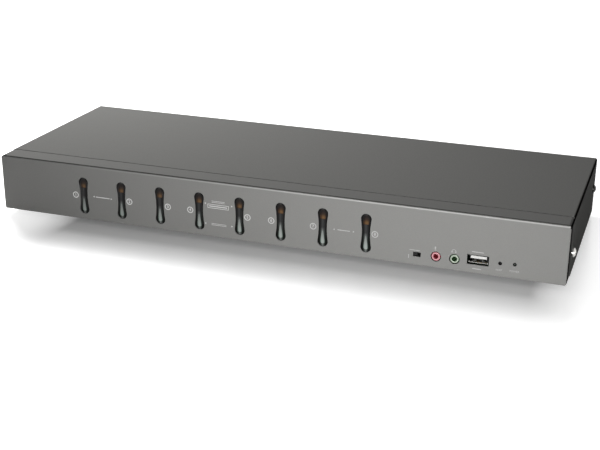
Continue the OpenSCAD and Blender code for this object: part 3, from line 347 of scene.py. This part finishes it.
# Inside the type A shells the nickel is painted near black as painted shade: in the rear shells past a thin
# lip at the mouth, and in the front one everywhere but the front of its lower wall.
painted_socket_shade, lit_lip, lit_floor, lip_soft = (0.006, 0.006, 0.006), 0.0016, 0.0018, 0.0004
in_front, in_rear = ("Y", 0.02, 0.0), ("Y", 0.0, 0.02)
front_depth = ("Y", front_mouth + lit_lip, front_mouth + lit_lip + lip_soft)
above_floor = ("Z", front_usb_z - lit_floor - lip_soft, front_usb_z - lit_floor)
rear_depth = ("Y", rear_mouth - lip_soft, rear_mouth - 2 * lip_soft)
for shadow in ([front_depth, in_front], [above_floor, in_front], [rear_depth, in_rear]):
    tint(shell_nickel, painted_socket_shade, shadow)
dress(shell_nickel, "usb_a_shells")
dress(nickel, "usb_b_shells")
dress(white_plastic, "usb_a_tongues", "usb_b_cores")


def flat_bar(place, turn, width, height, round_r, rise):
    """A flat bar with rounded corners."""
    alone()
    bpy.ops.mesh.primitive_plane_add(size=1, location=place, rotation=turn)
    bpy.context.object.scale = (width, height, 1)
    bar = settled()
    bpy.ops.object.mode_set(mode="EDIT")
    bpy.ops.mesh.bevel(offset=round_r, segments=3, affect="VERTICES")
    bpy.ops.object.mode_set(mode="OBJECT")
    return worked(bar, "SOLIDIFY", thickness=rise, offset=1)


def sprung_leaf(x, back, floor_z):
    """A leaf pressed up out of a shell's lower wall, with sloping ends."""
    width, length, rise, slope, sheet = 0.0022, 0.0060, 0.0007, 0.0006, 0.00015
    alone()
    bpy.ops.mesh.primitive_plane_add(size=1, location=(x, back + length / 2, floor_z))
    bpy.context.object.scale = (width, length, 1)
    leaf = settled()
    bpy.ops.object.mode_set(mode="EDIT")
    bpy.ops.mesh.inset(thickness=slope)
    bpy.ops.transform.translate(value=(0, 0, rise))
    bpy.ops.object.mode_set(mode="OBJECT")
    return worked(leaf, "SOLIDIFY", thickness=sheet, offset=1)


usb_a_mouths = [((front_usb_x, front_mouth, front_usb_z), False)]
usb_a_mouths += [((console_usb_x, rear_mouth, z), True) for z in console_usb_z]
leaf_x, leaf_back, leaf_floor = (-0.0032, 0.0032), 0.0012, -0.00254
leaves = together([sprung_leaf(x, leaf_back, leaf_floor) for x in leaf_x])
joined(placed(leaves, usb_a_mouths), "usb_a_springs", painted_shade_nickel)

contact_w, contact_round, face_up, face_down = 0.0010, 0.0002, (0, 0, 0), (math.pi, 0, 0)
a_x, a_back, a_under, a_length, a_rise = (-0.0035, -0.0010, 0.0010, 0.0035), 0.0051, -0.00002, 0.0078, 0.00015
contacts = together([flat_bar((x, a_back, a_under), face_down, contact_w, a_length, contact_round, a_rise)
                     for x in a_x])
joined(placed(contacts, usb_a_mouths), "usb_a_contacts", gold)

usb_b_from_port, usb_b_z, usb_b_mouth = -0.0096, case_z + 0.0114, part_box("usb_b_shells")[1].y
usb_b_mouths = [((x + usb_b_from_port, usb_b_mouth, usb_b_z), True) for x in port_x]
b_x, b_back, b_faces, b_length, b_rise = (-0.00125, 0.00125), 0.0054, 0.0016, 0.0066, 0.00018
contacts = together([flat_bar((x, b_back, z), turn, contact_w, b_length, contact_round, b_rise)
                     for x in b_x for z, turn in ((b_faces, face_up), (-b_faces, face_down))])
joined(placed(contacts, usb_b_mouths), "usb_b_contacts", gold)

# Video sockets
# Drawn nickel-plated shells with a moulded contact block, each held by two hexagonal jack nuts.
# The nuts are screwed through the panel into the shell's flange.
dress(nickel, "dvi_shells", "jack_nuts")
dress(white_plastic, "dvi_inserts")

# Upgrade socket
# A black modular socket on the lower board, with six sprung wires that slope back from its roof.
dress(black_plastic, "upgrade_socket")
upgrade_mouth = (0.14805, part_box("upgrade_socket")[1].y, case_z + 0.0120)
wire_count, wire_pitch, wire_back, wire_high = 6, 0.00102, 0.0058, 0.0021
wire_w, wire_length, wire_round, wire_rise = 0.00042, 0.0070, 0.0001, 0.0003
wire_turn = (math.radians(-30), 0, 0)
wire_x = [wire_pitch * (i - (wire_count - 1) / 2) for i in range(wire_count)]
wires = together([flat_bar((x, wire_back, wire_high), wire_turn, wire_w, wire_length, wire_round, wire_rise)
                  for x in wire_x])
joined(placed(wires, [(upgrade_mouth, True)]), "upgrade_contacts", gold)

# Power inlet and switch
# A moulded inlet with three round-nosed pins, a rocker switch beside it and an earth screw under that.
# The rocker's two marks are filled with white ink, and the part above the pivot stands out when it is off.
gloss_black = make_finish("gloss_black", (0.004, 0.004, 0.004), (0.006, 0.006, 0.006), (0.10, 0.16),
                          900, 0.000002, Specular_IOR_Level=0.25)
white_ink = make_finish("white_ink", (0.55, 0.55, 0.54), (0.64, 0.64, 0.63), (0.5, 0.65), 2400, 0.000003)
dress(black_plastic, "mains_inlet", "power_switch_body")
dress(gloss_black, "power_rocker")
dress(brass, "ground_screw")


def pick(piece, test):
    """Selects, in edit mode, the points of a piece whose place passes a test."""
    alone(piece)
    bpy.ops.object.mode_set(mode="EDIT")
    bpy.ops.mesh.select_mode(type="VERT")
    bpy.ops.mesh.select_all(action="DESELECT")
    bpy.ops.object.mode_set(mode="OBJECT")
    for point in piece.data.vertices:
        point.select = test(point.co)
    bpy.ops.object.mode_set(mode="EDIT")


inlet_x, inlet_z, pin_aside, pin_low, pin_high = 0.1765, case_z + 0.0220, 0.0070, -0.0016, 0.0024
pin_w, pin_h, pin_nose = 0.0020, 0.0040, 0.0008
pin_tail, pin_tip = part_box("mains_pins")[0].y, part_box("mains_pins")[1].y
pins = []
for dx, dz in ((-pin_aside, pin_low), (pin_aside, pin_low), (0.0, pin_high)):
    alone()
    pin_middle = (inlet_x + dx, (pin_tail + pin_tip) / 2, inlet_z + dz)
    bpy.ops.mesh.primitive_cube_add(size=1, location=pin_middle)
    bpy.context.object.scale = (pin_w, pin_tip - pin_tail, pin_h)
    pin = settled()
    pick(pin, lambda at: at.y > pin_tip - pin_nose)
    bpy.ops.mesh.bevel(offset=pin_nose, segments=4, affect="EDGES")
    bpy.ops.object.mode_set(mode="OBJECT")
    pins.append(pin)
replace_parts(joined(pins, "round_nosed_pins", nickel), "mains_pins")

to_rear, swung_out = (math.radians(90), 0, math.pi), (math.radians(112), 0, math.pi)
ink_rise, line_round, switch_x = 0.00003, 0.0001, 0.2025
off_place, off_outer_r, off_inner_r = (switch_x, 0.077414, 0.021296), 0.0019, 0.0014
on_place, on_w, on_h, on_round = (switch_x, 0.078846, 0.028662), 0.0006, 0.0036, 0.00015
off_mark = flat_ring(off_place, to_rear, off_outer_r, off_inner_r, ink_rise)
on_mark = flat_bar(on_place, swung_out, on_w, on_h, on_round, ink_rise)
joined([off_mark, on_mark], "rocker_marks", white_ink, body="rocker")

# Printed marks on the rear
# White ink, screen printed on the painted panel: ringed port numbers, and signs for what plugs in where.
# Thin lines part one port's sockets from the next.
panel_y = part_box("rear_panel")[1].y
earth_x, earth_z, screen_z, mic_sign_z, headset_sign_z = 0.1950, 0.0063, 0.0216, 0.0170, 0.0166
line_from_port, line_z, line_w, line_h = 0.0196, 0.0148, 0.0003, 0.0180
rear_number_from_port, rear_number_z, rear_number_size = -0.0040, 0.0214, 0.0036
rear_ring_outer_r, rear_ring_inner_r = 0.0027, 0.0024


def on_rear(x, z):
    """A point on the rear panel's face, in metres from the middle and from the bottom of the case."""
    return (x, panel_y, case_z + z)


def words(body, place, turn, size, rise, bold=0.0):
    """A number or word of plain letters, with their strokes made thicker by bold metres on each side."""
    alone()
    bpy.ops.object.text_add(location=place, rotation=turn)
    letters = bpy.context.object.data
    letters.body = body
    letters.size = size
    letters.align_x = "CENTER"
    letters.align_y = "CENTER"
    letters.extrude = rise
    letters.offset = bold
    letters.resolution_u = 4
    bpy.ops.object.convert(target="MESH")
    mesh_words = settled()
    bpy.ops.object.mode_set(mode="EDIT")
    bpy.ops.mesh.select_all(action="SELECT")
    bpy.ops.mesh.remove_doubles(threshold=0.000001)
    bpy.ops.object.mode_set(mode="OBJECT")
    return mesh_words


def lines(spot, turn, rise, bars):
    """Thin bars beside a spot: (aside, above, width, height)."""
    x, y, z = spot
    return [flat_bar((x + dx, y, z + dz), turn, w, h, line_round, rise) for dx, dz, w, h in bars]


def headset_sign(spot, turn, rise):
    """Two ear pads under a bow."""
    x, y, z = spot
    bow_outer_r, bow_inner_r, pad_aside, pad_low = 0.0016, 0.0013, 0.00135, -0.0003
    pad_w, pad_h, pad_round = 0.0007, 0.0012, 0.0002
    pads = [flat_bar((x + dx, y, z + pad_low), turn, pad_w, pad_h, pad_round, rise)
            for dx in (-pad_aside, pad_aside)]
    return [flat_ring(spot, turn, bow_outer_r, bow_inner_r, rise, upper_half=True)] + pads


def microphone_sign(spot, turn, rise):
    """A rounded head on a stem and a foot."""
    x, y, z = spot
    head_high, head_w, head_h, head_round = 0.0006, 0.0009, 0.0017, 0.0004
    head = flat_bar((x, y, z + head_high), turn, head_w, head_h, head_round, rise)
    return [head] + lines(spot, turn, rise, [(0.0, -0.0006, 0.0003, 0.0010), (0.0, -0.0012, 0.0014, 0.0003)])


def screen_sign(spot, turn, rise):
    """A screen's frame on a foot."""
    return lines(spot, turn, rise, [
        (0.0, 0.0024, 0.0070, 0.0004), (0.0, -0.0024, 0.0070, 0.0004), (-0.0033, 0.0, 0.0004, 0.0050),
        (0.0033, 0.0, 0.0004, 0.0050), (0.0, -0.0032, 0.0010, 0.0014), (0.0, -0.0039, 0.0036, 0.0004)])


def earth_sign(spot, turn, rise):
    """A stem on three lines, each shorter than the last."""
    return lines(spot, turn, rise, [
        (0.0, 0.0014, 0.0004, 0.0022), (0.0, 0.0002, 0.0036, 0.0004), (0.0, -0.0007, 0.0024, 0.0004),
        (0.0, -0.0016, 0.0012, 0.0004)])


rear_marks = earth_sign(on_rear(earth_x, earth_z), to_rear, ink_rise)
rear_marks += screen_sign(on_rear(console_x, screen_z), to_rear, ink_rise)
for x in port_x:
    rear_marks += lines(on_rear(x + line_from_port, line_z), to_rear, ink_rise, [(0.0, 0.0, line_w, line_h)])
for x in mic_x:
    rear_marks += microphone_sign(on_rear(x, mic_sign_z), to_rear, ink_rise)
for x in speaker_x:
    rear_marks += headset_sign(on_rear(x, headset_sign_z), to_rear, ink_rise)
joined(rear_marks, "rear_marks", white_ink)
for i, x in enumerate(port_x, 1):
    spot = on_rear(x + rear_number_from_port, rear_number_z)
    ring = flat_ring(spot, to_rear, rear_ring_outer_r, rear_ring_inner_r, ink_rise)
    number = words(str(i), spot, to_rear, rear_number_size, ink_rise)
    joined([ring, number], f"rear_number_{i}", white_ink)

# Controls on the front
# A ribbed slide switch, a recessed reset button and an unlit lamp, in black and smoked plastic.
# They stand on the front shelf of the lower board.
dark_lens = make_finish("dark_lens", (0.010, 0.013, 0.010), (0.016, 0.020, 0.016), (0.10, 0.18),
                        900, 0.000002, Specular_IOR_Level=0.15)
dress(black_plastic, "mode_switch_body", "mode_switch_slider", "reset_switch", "reset_button")
dress(dark_lens, "power_lamp")

# Port keys
# Eight waisted keys in polished black plastic, each on a stem that presses the switch behind it.
# A moulding in each carries the lamps' light to two windows: smoked amber above, green below, whose colours
# hold a painted reflection and a painted glow.
key_pitch, first_key_x, key_z = 0.0317, -0.1452, case_z + 0.0190
ridge_half_w, pale_full, pale_none = 0.0018, key_z - 0.0024, key_z + 0.0004
lens_half_h, drop_half_w, drop_soft = 0.0145, 0.0017, 0.001
window_half_w, painted_glow_shift = 0.0034, 0.0005


def from_key_middle(tree, where, shift=0.0):
    """How far a point is sideways from the middle of its key, or from a line beside that, and its height."""
    split = tree.nodes.new("ShaderNodeSeparateXYZ")
    tree.links.new(where, split.inputs["Vector"])
    along = sum_of(tree, "SUBTRACT", split.outputs["X"], first_key_x + shift - key_pitch / 2)
    aside = sum_of(tree, "SUBTRACT", sum_of(tree, "MODULO", along, key_pitch), key_pitch / 2)
    return sum_of(tree, "MAXIMUM", aside, sum_of(tree, "MULTIPLY", aside, -1.0)), split.outputs["Z"]


# The key's black is painted lighter along the middle of its crown than on its flanks, a painted reflection,
# and paler still up the middle towards the lower window, a painted reflection of the floor.
key_black, tree, shader, where = finish_tree("key_black")
aside, height = from_key_middle(tree, where)
across = spread(tree, aside, 0.0, 1.0, 0.0, ridge_half_w)
ridge = shades(tree, across, [
    (0.0, (0.030, 0.030, 0.030)), (0.45, (0.018, 0.018, 0.018)), (1.0, (0.004, 0.004, 0.004))])
painted_ridge_reflection = shades(tree, across, [
    (0.0, (0.13, 0.135, 0.13)), (0.5, (0.045, 0.05, 0.047)), (1.0, (0.004, 0.005, 0.004))])
near_drop = spread(tree, height, 1.0, 0.0, pale_full, pale_none)
tree.links.new(laid_over(tree, near_drop, ridge, painted_ridge_reflection), shader.inputs["Base Color"])
tree.links.new(spread(tree, grain(tree, where, 900), 0.10, 0.18), shader.inputs["Roughness"])
shader.inputs["Specular IOR Level"].default_value = 0.10

# The windows' colours are painted by height and sideways place. The pale drop with dark green edges in the
# lower window is a painted reflection of the floor. The amber band above is the lens's own tint with a
# painted glow, set a little to one side and darker towards its top and sides.
smoked_lens, tree, shader, where = finish_tree("smoked_lens")
aside, height = from_key_middle(tree, where)
from_painted_glow, height = from_key_middle(tree, where, painted_glow_shift)
lens_height = spread(tree, height, 0.0, 1.0, key_z - lens_half_h, key_z + lens_half_h)
painted_lens_colours = shades(tree, lens_height, [
    (0.02, (0.285, 0.302, 0.290)), (0.18, (0.250, 0.262, 0.253)), (0.42, (0.165, 0.172, 0.167)),
    (0.72, (0.055, 0.032, 0.016)), (0.762, (0.105, 0.055, 0.021)), (0.80, (0.075, 0.040, 0.016)),
    (0.84, (0.030, 0.017, 0.010)), (0.90, (0.010, 0.007, 0.006))])
painted_drop_reflection = shades(tree, spread(tree, aside, 0.0, 1.0, 0.0, drop_half_w), [
    (0.0, (1, 1, 1)), (0.6, (0.85, 0.92, 0.88)), (0.95, (0.14, 0.25, 0.20))])
painted_window_glow = shades(tree, spread(tree, from_painted_glow, 0.0, 1.0, 0.0, window_half_w), [
    (0.20, (1, 1, 1)), (0.45, (0.42, 0.38, 0.34)), (0.8, (0.16, 0.14, 0.12))])
in_drop = spread(tree, height, 1.0, 0.0, key_z - drop_soft, key_z + drop_soft)
edges = laid_over(tree, in_drop, painted_window_glow, painted_drop_reflection)
tree.links.new(laid_over(tree, 1.0, painted_lens_colours, edges, "MULTIPLY"), shader.inputs["Base Color"])
tree.links.new(spread(tree, grain(tree, where, 700), 0.08, 0.14), shader.inputs["Roughness"])
shader.inputs["Specular IOR Level"].default_value = 0.12
for i in range(1, port_count + 1):
    dress(key_black, f"port_key_{i}")
    dress(smoked_lens, f"light_guide_{i}")

# Front bezel
# One moulding with a rounded front edge, painted to match the case in a slightly finer satin, with a painted
# highlight along its upper edge and painted shade at its edges and in its holes. Four screws from behind hold
# it, and a black strip set in the seam behind it is painted shade for the gap.
face_y, rim_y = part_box("front_bezel")[0].y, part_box("front_bezel")[1].y
bezel_paint = make_finish("bezel_paint", (0.176, 0.176, 0.170), (0.204, 0.203, 0.196), (0.50, 0.58),
                          4200, 0.000006, Specular_IOR_Level=0.0)


def below_top(start, end):
    """A mask that rises between two depths below the case's top."""
    return "Z", case_top - start, case_top - end


def behind_face(start, end):
    """A mask that rises between two depths behind the bezel's face."""
    return "Y", face_y + start, face_y + end


# Along the upper edge, stronger towards the right, the paint is made paler as a painted highlight.
painted_edge_highlight = (0.36, 0.36, 0.35)
highlight_low, highlight_high, highlight_back, highlight_along = (0.0019, 0.0013), (0.0006, 0.0010), (0.0012, 0.0008), (-0.17, 0.05)
tint(bezel_paint, painted_edge_highlight, [below_top(*highlight_low), below_top(*highlight_high), behind_face(*highlight_back),
                           ("X", *highlight_along)])
# Along the top of the rounded front edge a dark line is painted as painted shade.
edge_shade, shade_high, shade_back = (0.075, 0.075, 0.072), (0.0007, 0.0004), (0.0016, 0.0012)
tint(bezel_paint, edge_shade, [below_top(*shade_high), behind_face(*shade_back)])
# Everywhere behind the face's first millimetre, inside its holes and rim, the moulding is painted near black
# as painted shade in the recesses.
painted_hole_shade, shade_inset, shade_inset_soft, shade_inset_back = (0.010, 0.010, 0.010), 0.0012, 0.0004, (0.0005, 0.0010)
within_sides = ("|X", case_side - shade_inset, case_side - shade_inset - shade_inset_soft)
above_shade_inset = ("Z", case_z + shade_inset, case_z + shade_inset + shade_inset_soft)
tint(bezel_paint, painted_hole_shade, [behind_face(*shade_inset_back), within_sides, above_shade_inset,
                               below_top(shade_inset, shade_inset + shade_inset_soft)])
# A near-black strip on each side just behind the face, and a line along the side folds, are painted shade.
side_line, strip_back = ("|X", case_side - fold_soft, case_side - fold_soft / 2), (0.0062, 0.0046)
tint(bezel_paint, painted_shade_line, [side_line, behind_face(*strip_back)])
tint(bezel_paint, painted_shade_line, [fold_aside, fold_high])
dress(bezel_paint, "front_bezel")

rubber = make_finish("rubber", (0.008, 0.008, 0.008), (0.014, 0.014, 0.014), (0.75, 0.9), 1500, 0.00004,
                     Specular_IOR_Level=0.1)
# A black rubber strip set in the seam is a dark strip standing for the shade in the gap.
shade_strip_inset, shade_strip_w, shade_strip_y, shade_strip_gap, shade_strip_round, shade_strip_foot = 0.0004, 0.0007, 0.00085, 0.00008, 0.0019, 0.0015
alone()
bpy.ops.mesh.primitive_plane_add(size=1, location=(0, rim_y + shade_strip_gap, (case_z + case_top) / 2),
                                 rotation=to_front)
bpy.context.object.scale = (2 * (case_side - shade_strip_inset), case_top - case_z - 2 * shade_strip_inset, 1)
shade_strip = settled()
bpy.ops.object.mode_set(mode="EDIT")
bpy.ops.mesh.bevel(offset=shade_strip_round, segments=5, affect="VERTICES")
bpy.ops.mesh.inset(thickness=shade_strip_w)
bpy.ops.mesh.delete(type="FACE")
bpy.ops.mesh.select_all(action="SELECT")
bpy.ops.mesh.bisect(plane_co=(0, 0, case_z + shade_strip_foot), plane_no=(0, 0, 1), clear_inner=True)
bpy.ops.object.mode_set(mode="OBJECT")
worked(shade_strip, "SOLIDIFY", thickness=shade_strip_y, offset=-1)
joined([shade_strip], "seam_shade_strip", rubber)

# Printed marks on the front
# Pale grey ink, screen printed on the painted bezel: ringed port numbers, bars, arrowheads and signs.
# The ink is paler towards the left end.
pale_ink = make_finish("pale_ink", (0.30, 0.30, 0.295), (0.36, 0.36, 0.352), (0.5, 0.65), 2400, 0.000003)
paler_ink, paler_from, palest_from = (0.66, 0.66, 0.65), 0.06, -0.14
tint(pale_ink, paler_ink, [("X", paler_from, palest_from)])


def on_front(x, z):
    """A point on the bezel's face, in millimetres from its middle and from the bottom of the case."""
    return (x / 1000, face_y, case_z + z / 1000)


def arrowhead(place, turn, size, rise):
    """A small triangle with rounded corners, pointing the way that turn sets."""
    alone()
    bpy.ops.mesh.primitive_circle_add(vertices=3, radius=size, fill_type="NGON",
                                      location=place, rotation=turn)
    head = settled()
    bpy.ops.object.mode_set(mode="EDIT")
    bpy.ops.mesh.select_all(action="SELECT")
    bpy.ops.mesh.bevel(offset=size * 0.12, segments=2, affect="VERTICES")
    bpy.ops.object.mode_set(mode="OBJECT")
    return worked(head, "SOLIDIFY", thickness=rise, offset=1)


number_x, number_z = (-152.2, -107.0, -75.4, -57.3, -12.2, 6.1, 37.8, 83.2), 19.0
ring_outer_r, ring_inner_r, number_size, number_bold = 0.00245, 0.00180, 0.0030, 0.00007
for i, x in enumerate(number_x, 1):
    spot = on_front(x, number_z)
    ring = flat_ring(spot, to_front, ring_outer_r, ring_inner_r, ink_rise)
    number = words(str(i), spot, to_front, number_size, ink_rise, bold=number_bold)
    joined([ring, number], f"port_number_{i}", pale_ink)

# Bars and lines are (x, z, width, height) in millimetres.
bars = [(-129.4, 19.2, 11.6, 0.6), (60.5, 18.8, 9.2, 0.6), (155.7, 16.0, 8.2, 0.5), (155.5, 3.7, 6.2, 0.5),
        (112.0, 11.4, 7.5, 0.35), (107.8, 6.4, 0.4, 2.9)]
line_gap, line_t = 1.0, 0.3
for x, z, w in ((-35.0, 27.6, 10.3), (-34.6, 10.15, 11.8)):
    bars += [(x, z + line_gap / 2, w, line_t), (x, z - line_gap / 2, w, line_t)]
frame_x, frame_z, frame_w, frame_h, frame_t = -35.0, 24.05, 16.7, 3.2, 0.4
inner_w, inner_h = 14.2, 0.7
bars.append((frame_x, frame_z, inner_w, inner_h))
for side in (-1, 1):
    bars.append((frame_x, frame_z + side * (frame_h - frame_t) / 2, frame_w, frame_t))
    bars.append((frame_x + side * (frame_w - frame_t) / 2, frame_z, frame_t, frame_h - frame_t / 2))
marks = [flat_bar(on_front(x, z), to_front, w / 1000, h / 1000, min(w, h) / 4000, ink_rise)
         for x, z, w, h in bars]

points_left, points_right, head_size = math.radians(90), math.radians(-90), 0.0008
heads = [(-136.6, 19.3, points_left), (-122.2, 19.1, points_right), (53.4, 18.8, points_left),
         (67.6, 18.8, points_right), (-45.0, 25.8, points_left), (-24.4, 25.8, points_right),
         (-45.1, 10.25, points_left), (-24.4, 10.25, points_right)]
for x, z, way in heads:
    turn = (Matrix.Rotation(math.radians(90), 3, "X") @ Matrix.Rotation(way, 3, "Z")).to_euler()
    marks.append(arrowhead(on_front(x, z), turn, head_size, ink_rise))
marks += microphone_sign(on_front(126.4, 14.6), to_front, ink_rise)
marks += headset_sign(on_front(139.3, 14.2), to_front, ink_rise)
joined(marks, "front_marks", pale_ink)
legends = [words(text, on_front(x, z), to_front, size, ink_rise)
           for text, x, z, size in (("RESET", 170.7, 5.2, 0.0017), ("POWER", 181.0, 5.6, 0.0019))]
joined(legends, "front_words", pale_ink)

# Screws and feet
# Pan-head screws with cross recesses, rolled from steel wire and nickel plated, hold tray, cover and bezel
# together. The rear pair at the sides is coloured near black. Four rubber feet are glued under the tray.
side_nickel = nickel_plate("side_nickel")
rear_near_black, rear_pair = (0.030, 0.030, 0.029), ("Y", -0.01, 0.01)
tint(side_nickel, rear_near_black, [rear_pair])
dress(side_nickel, "side_screws")
dress(nickel, "base_screws", "bezel_screws")
dress(rubber, "rubber_feet")

# Floor, light and camera
# A wide pale floor under plain soft light, and the camera at the photograph's place.
white_light = (1, 1, 1, 1)


def background_rays(tree):
    """1 for rays that show the background: straight from the camera, in a gloss or through a lens."""
    rays = tree.nodes.new("ShaderNodeLightPath")
    seen = sum_of(tree, "MAXIMUM", rays.outputs["Is Camera Ray"], rays.outputs["Is Glossy Ray"])
    return sum_of(tree, "MAXIMUM", seen, rays.outputs["Is Transmission Ray"])


fill_light, fill_lean = 0.16, (-0.14, 0, 0)
world = bpy.data.worlds.new("studio")
bpy.context.scene.world = world
world.use_nodes = True
tree = world.node_tree
towards = tree.nodes.new("ShaderNodeTexCoord")
lean = tree.nodes.new("ShaderNodeVectorMath")
lean.operation = "DOT_PRODUCT"
lean.inputs[1].default_value = fill_lean
tree.links.new(towards.outputs["Generated"], lean.inputs[0])
fill = tree.nodes["Background"]
fill.inputs["Color"].default_value = white_light
fill_level = spread(tree, lean.outputs["Value"], fill_light - 1, fill_light + 1, -1, 1)
tree.links.new(fill_level, fill.inputs["Strength"])
white = tree.nodes.new("ShaderNodeBackground")
white.inputs["Color"].default_value = white_light
white.inputs["Strength"].default_value = 1.0
choose = tree.nodes.new("ShaderNodeMixShader")
tree.links.new(background_rays(tree), choose.inputs["Fac"])
tree.links.new(fill.outputs[0], choose.inputs[1])
tree.links.new(white.outputs[0], choose.inputs[2])
tree.links.new(choose.outputs[0], tree.nodes["World Output"].inputs["Surface"])

floor_size, floor_dark, floor_pale = 40, (0.86, 0.86, 0.86), (0.88, 0.88, 0.88)
floor_finish, tree, shader, where = finish_tree("floor")
floor_colour = shades(tree, grain(tree, where, 3), [(0.3, floor_dark), (0.7, floor_pale)])
tree.links.new(floor_colour, shader.inputs["Base Color"])
tree.links.new(spread(tree, grain(tree, where, 40), 0.22, 0.26), shader.inputs["Roughness"])

# Away from the case the floor glows to white as a background. Close to the case the glow fades in steps over
# a box round it, a painted shadow that deepens the shade the case casts.
shade_middle, shade_half, shade_ends = (0.0195, -0.0175, 0), (0.1740, 0.0775, 0), (1.6, 1, 0)
shade_reach = 0.096
glow_steps = ((0.0, 0.10), (0.12, 0.285), (0.22, 0.40), (0.33, 0.50), (0.45, 0.60), (0.60, 0.67),
              (0.78, 0.74), (1.0, 0.82))
beyond = where
for step, reach in (("SUBTRACT", shade_middle), ("ABSOLUTE", None), ("SUBTRACT", shade_half),
                    ("MAXIMUM", (0, 0, 0)), ("MULTIPLY", shade_ends), ("LENGTH", None)):
    measure = tree.nodes.new("ShaderNodeVectorMath")
    measure.operation = step
    if reach:
        measure.inputs[1].default_value = reach
    tree.links.new(beyond, measure.inputs[0])
    beyond = measure.outputs[0]
distance = spread(tree, measure.outputs["Value"], 0.0, 1.0, 0.0, shade_reach)
glow_level = shades(tree, distance, [(at, (level, level, level)) for at, level in glow_steps])
glow = tree.nodes.new("ShaderNodeEmission")
glow.inputs["Color"].default_value = white_light
tree.links.new(sum_of(tree, "MULTIPLY", background_rays(tree), glow_level), glow.inputs["Strength"])
both = tree.nodes.new("ShaderNodeAddShader")
tree.links.new(shader.outputs[0], both.inputs[0])
tree.links.new(glow.outputs[0], both.inputs[1])
tree.links.new(both.outputs[0], tree.nodes["Material Output"].inputs["Surface"])
alone()
bpy.ops.mesh.primitive_plane_add(size=floor_size)
floor = bpy.context.object
floor.name = "floor"
floor.data.materials.append(floor_finish)

# A lamp has its place, aim, width and height in metres, its beam in degrees and its power in watts.
lamps = {
    "front": ((0.22, -1.15, 0.11), (0.13, -0.08, 0.025), (0.25, 0.20), 45, 0.90),
    "back_left": ((-0.60, 0.50, 0.50), (-0.18, 0.0, 0.045), (0.40, 0.30), 80, 2.4),
}
for name, (place, aim, size, beam, power) in lamps.items():
    alone()
    bpy.ops.object.light_add(type="AREA", location=place)
    lamp = bpy.context.object
    lamp.name = name
    lamp.data.shape = "RECTANGLE"
    lamp.data.size, lamp.data.size_y = size
    lamp.data.spread = math.radians(beam)
    lamp.data.energy = power
    lamp.rotation_euler = (Vector(aim) - Vector(place)).to_track_quat("-Z", "Y").to_euler()
    lamp.visible_camera = False

camera_place = (0.280008, -0.800241, 0.313495)
camera_yaw, camera_pitch, camera_roll = math.radians(20.6273), math.radians(69.0795), math.radians(-1.24077)
focal_px, image_px, sensor = 1149.986, 600, 36.0
yawed, pitched = Matrix.Rotation(camera_yaw, 3, "Z"), Matrix.Rotation(camera_pitch, 3, "X")
camera_turn = (yawed @ pitched @ Matrix.Rotation(camera_roll, 3, "Y")).to_euler()
alone()
bpy.ops.object.camera_add(location=camera_place, rotation=camera_turn)
camera = bpy.context.object
camera.data.sensor_width = sensor
camera.data.lens = focal_px * sensor / image_px
camera.data.clip_start = 0.01
camera.data.clip_end = 100
bpy.context.scene.camera = camera
bpy.context.scene.view_settings.view_transform = "Standard"
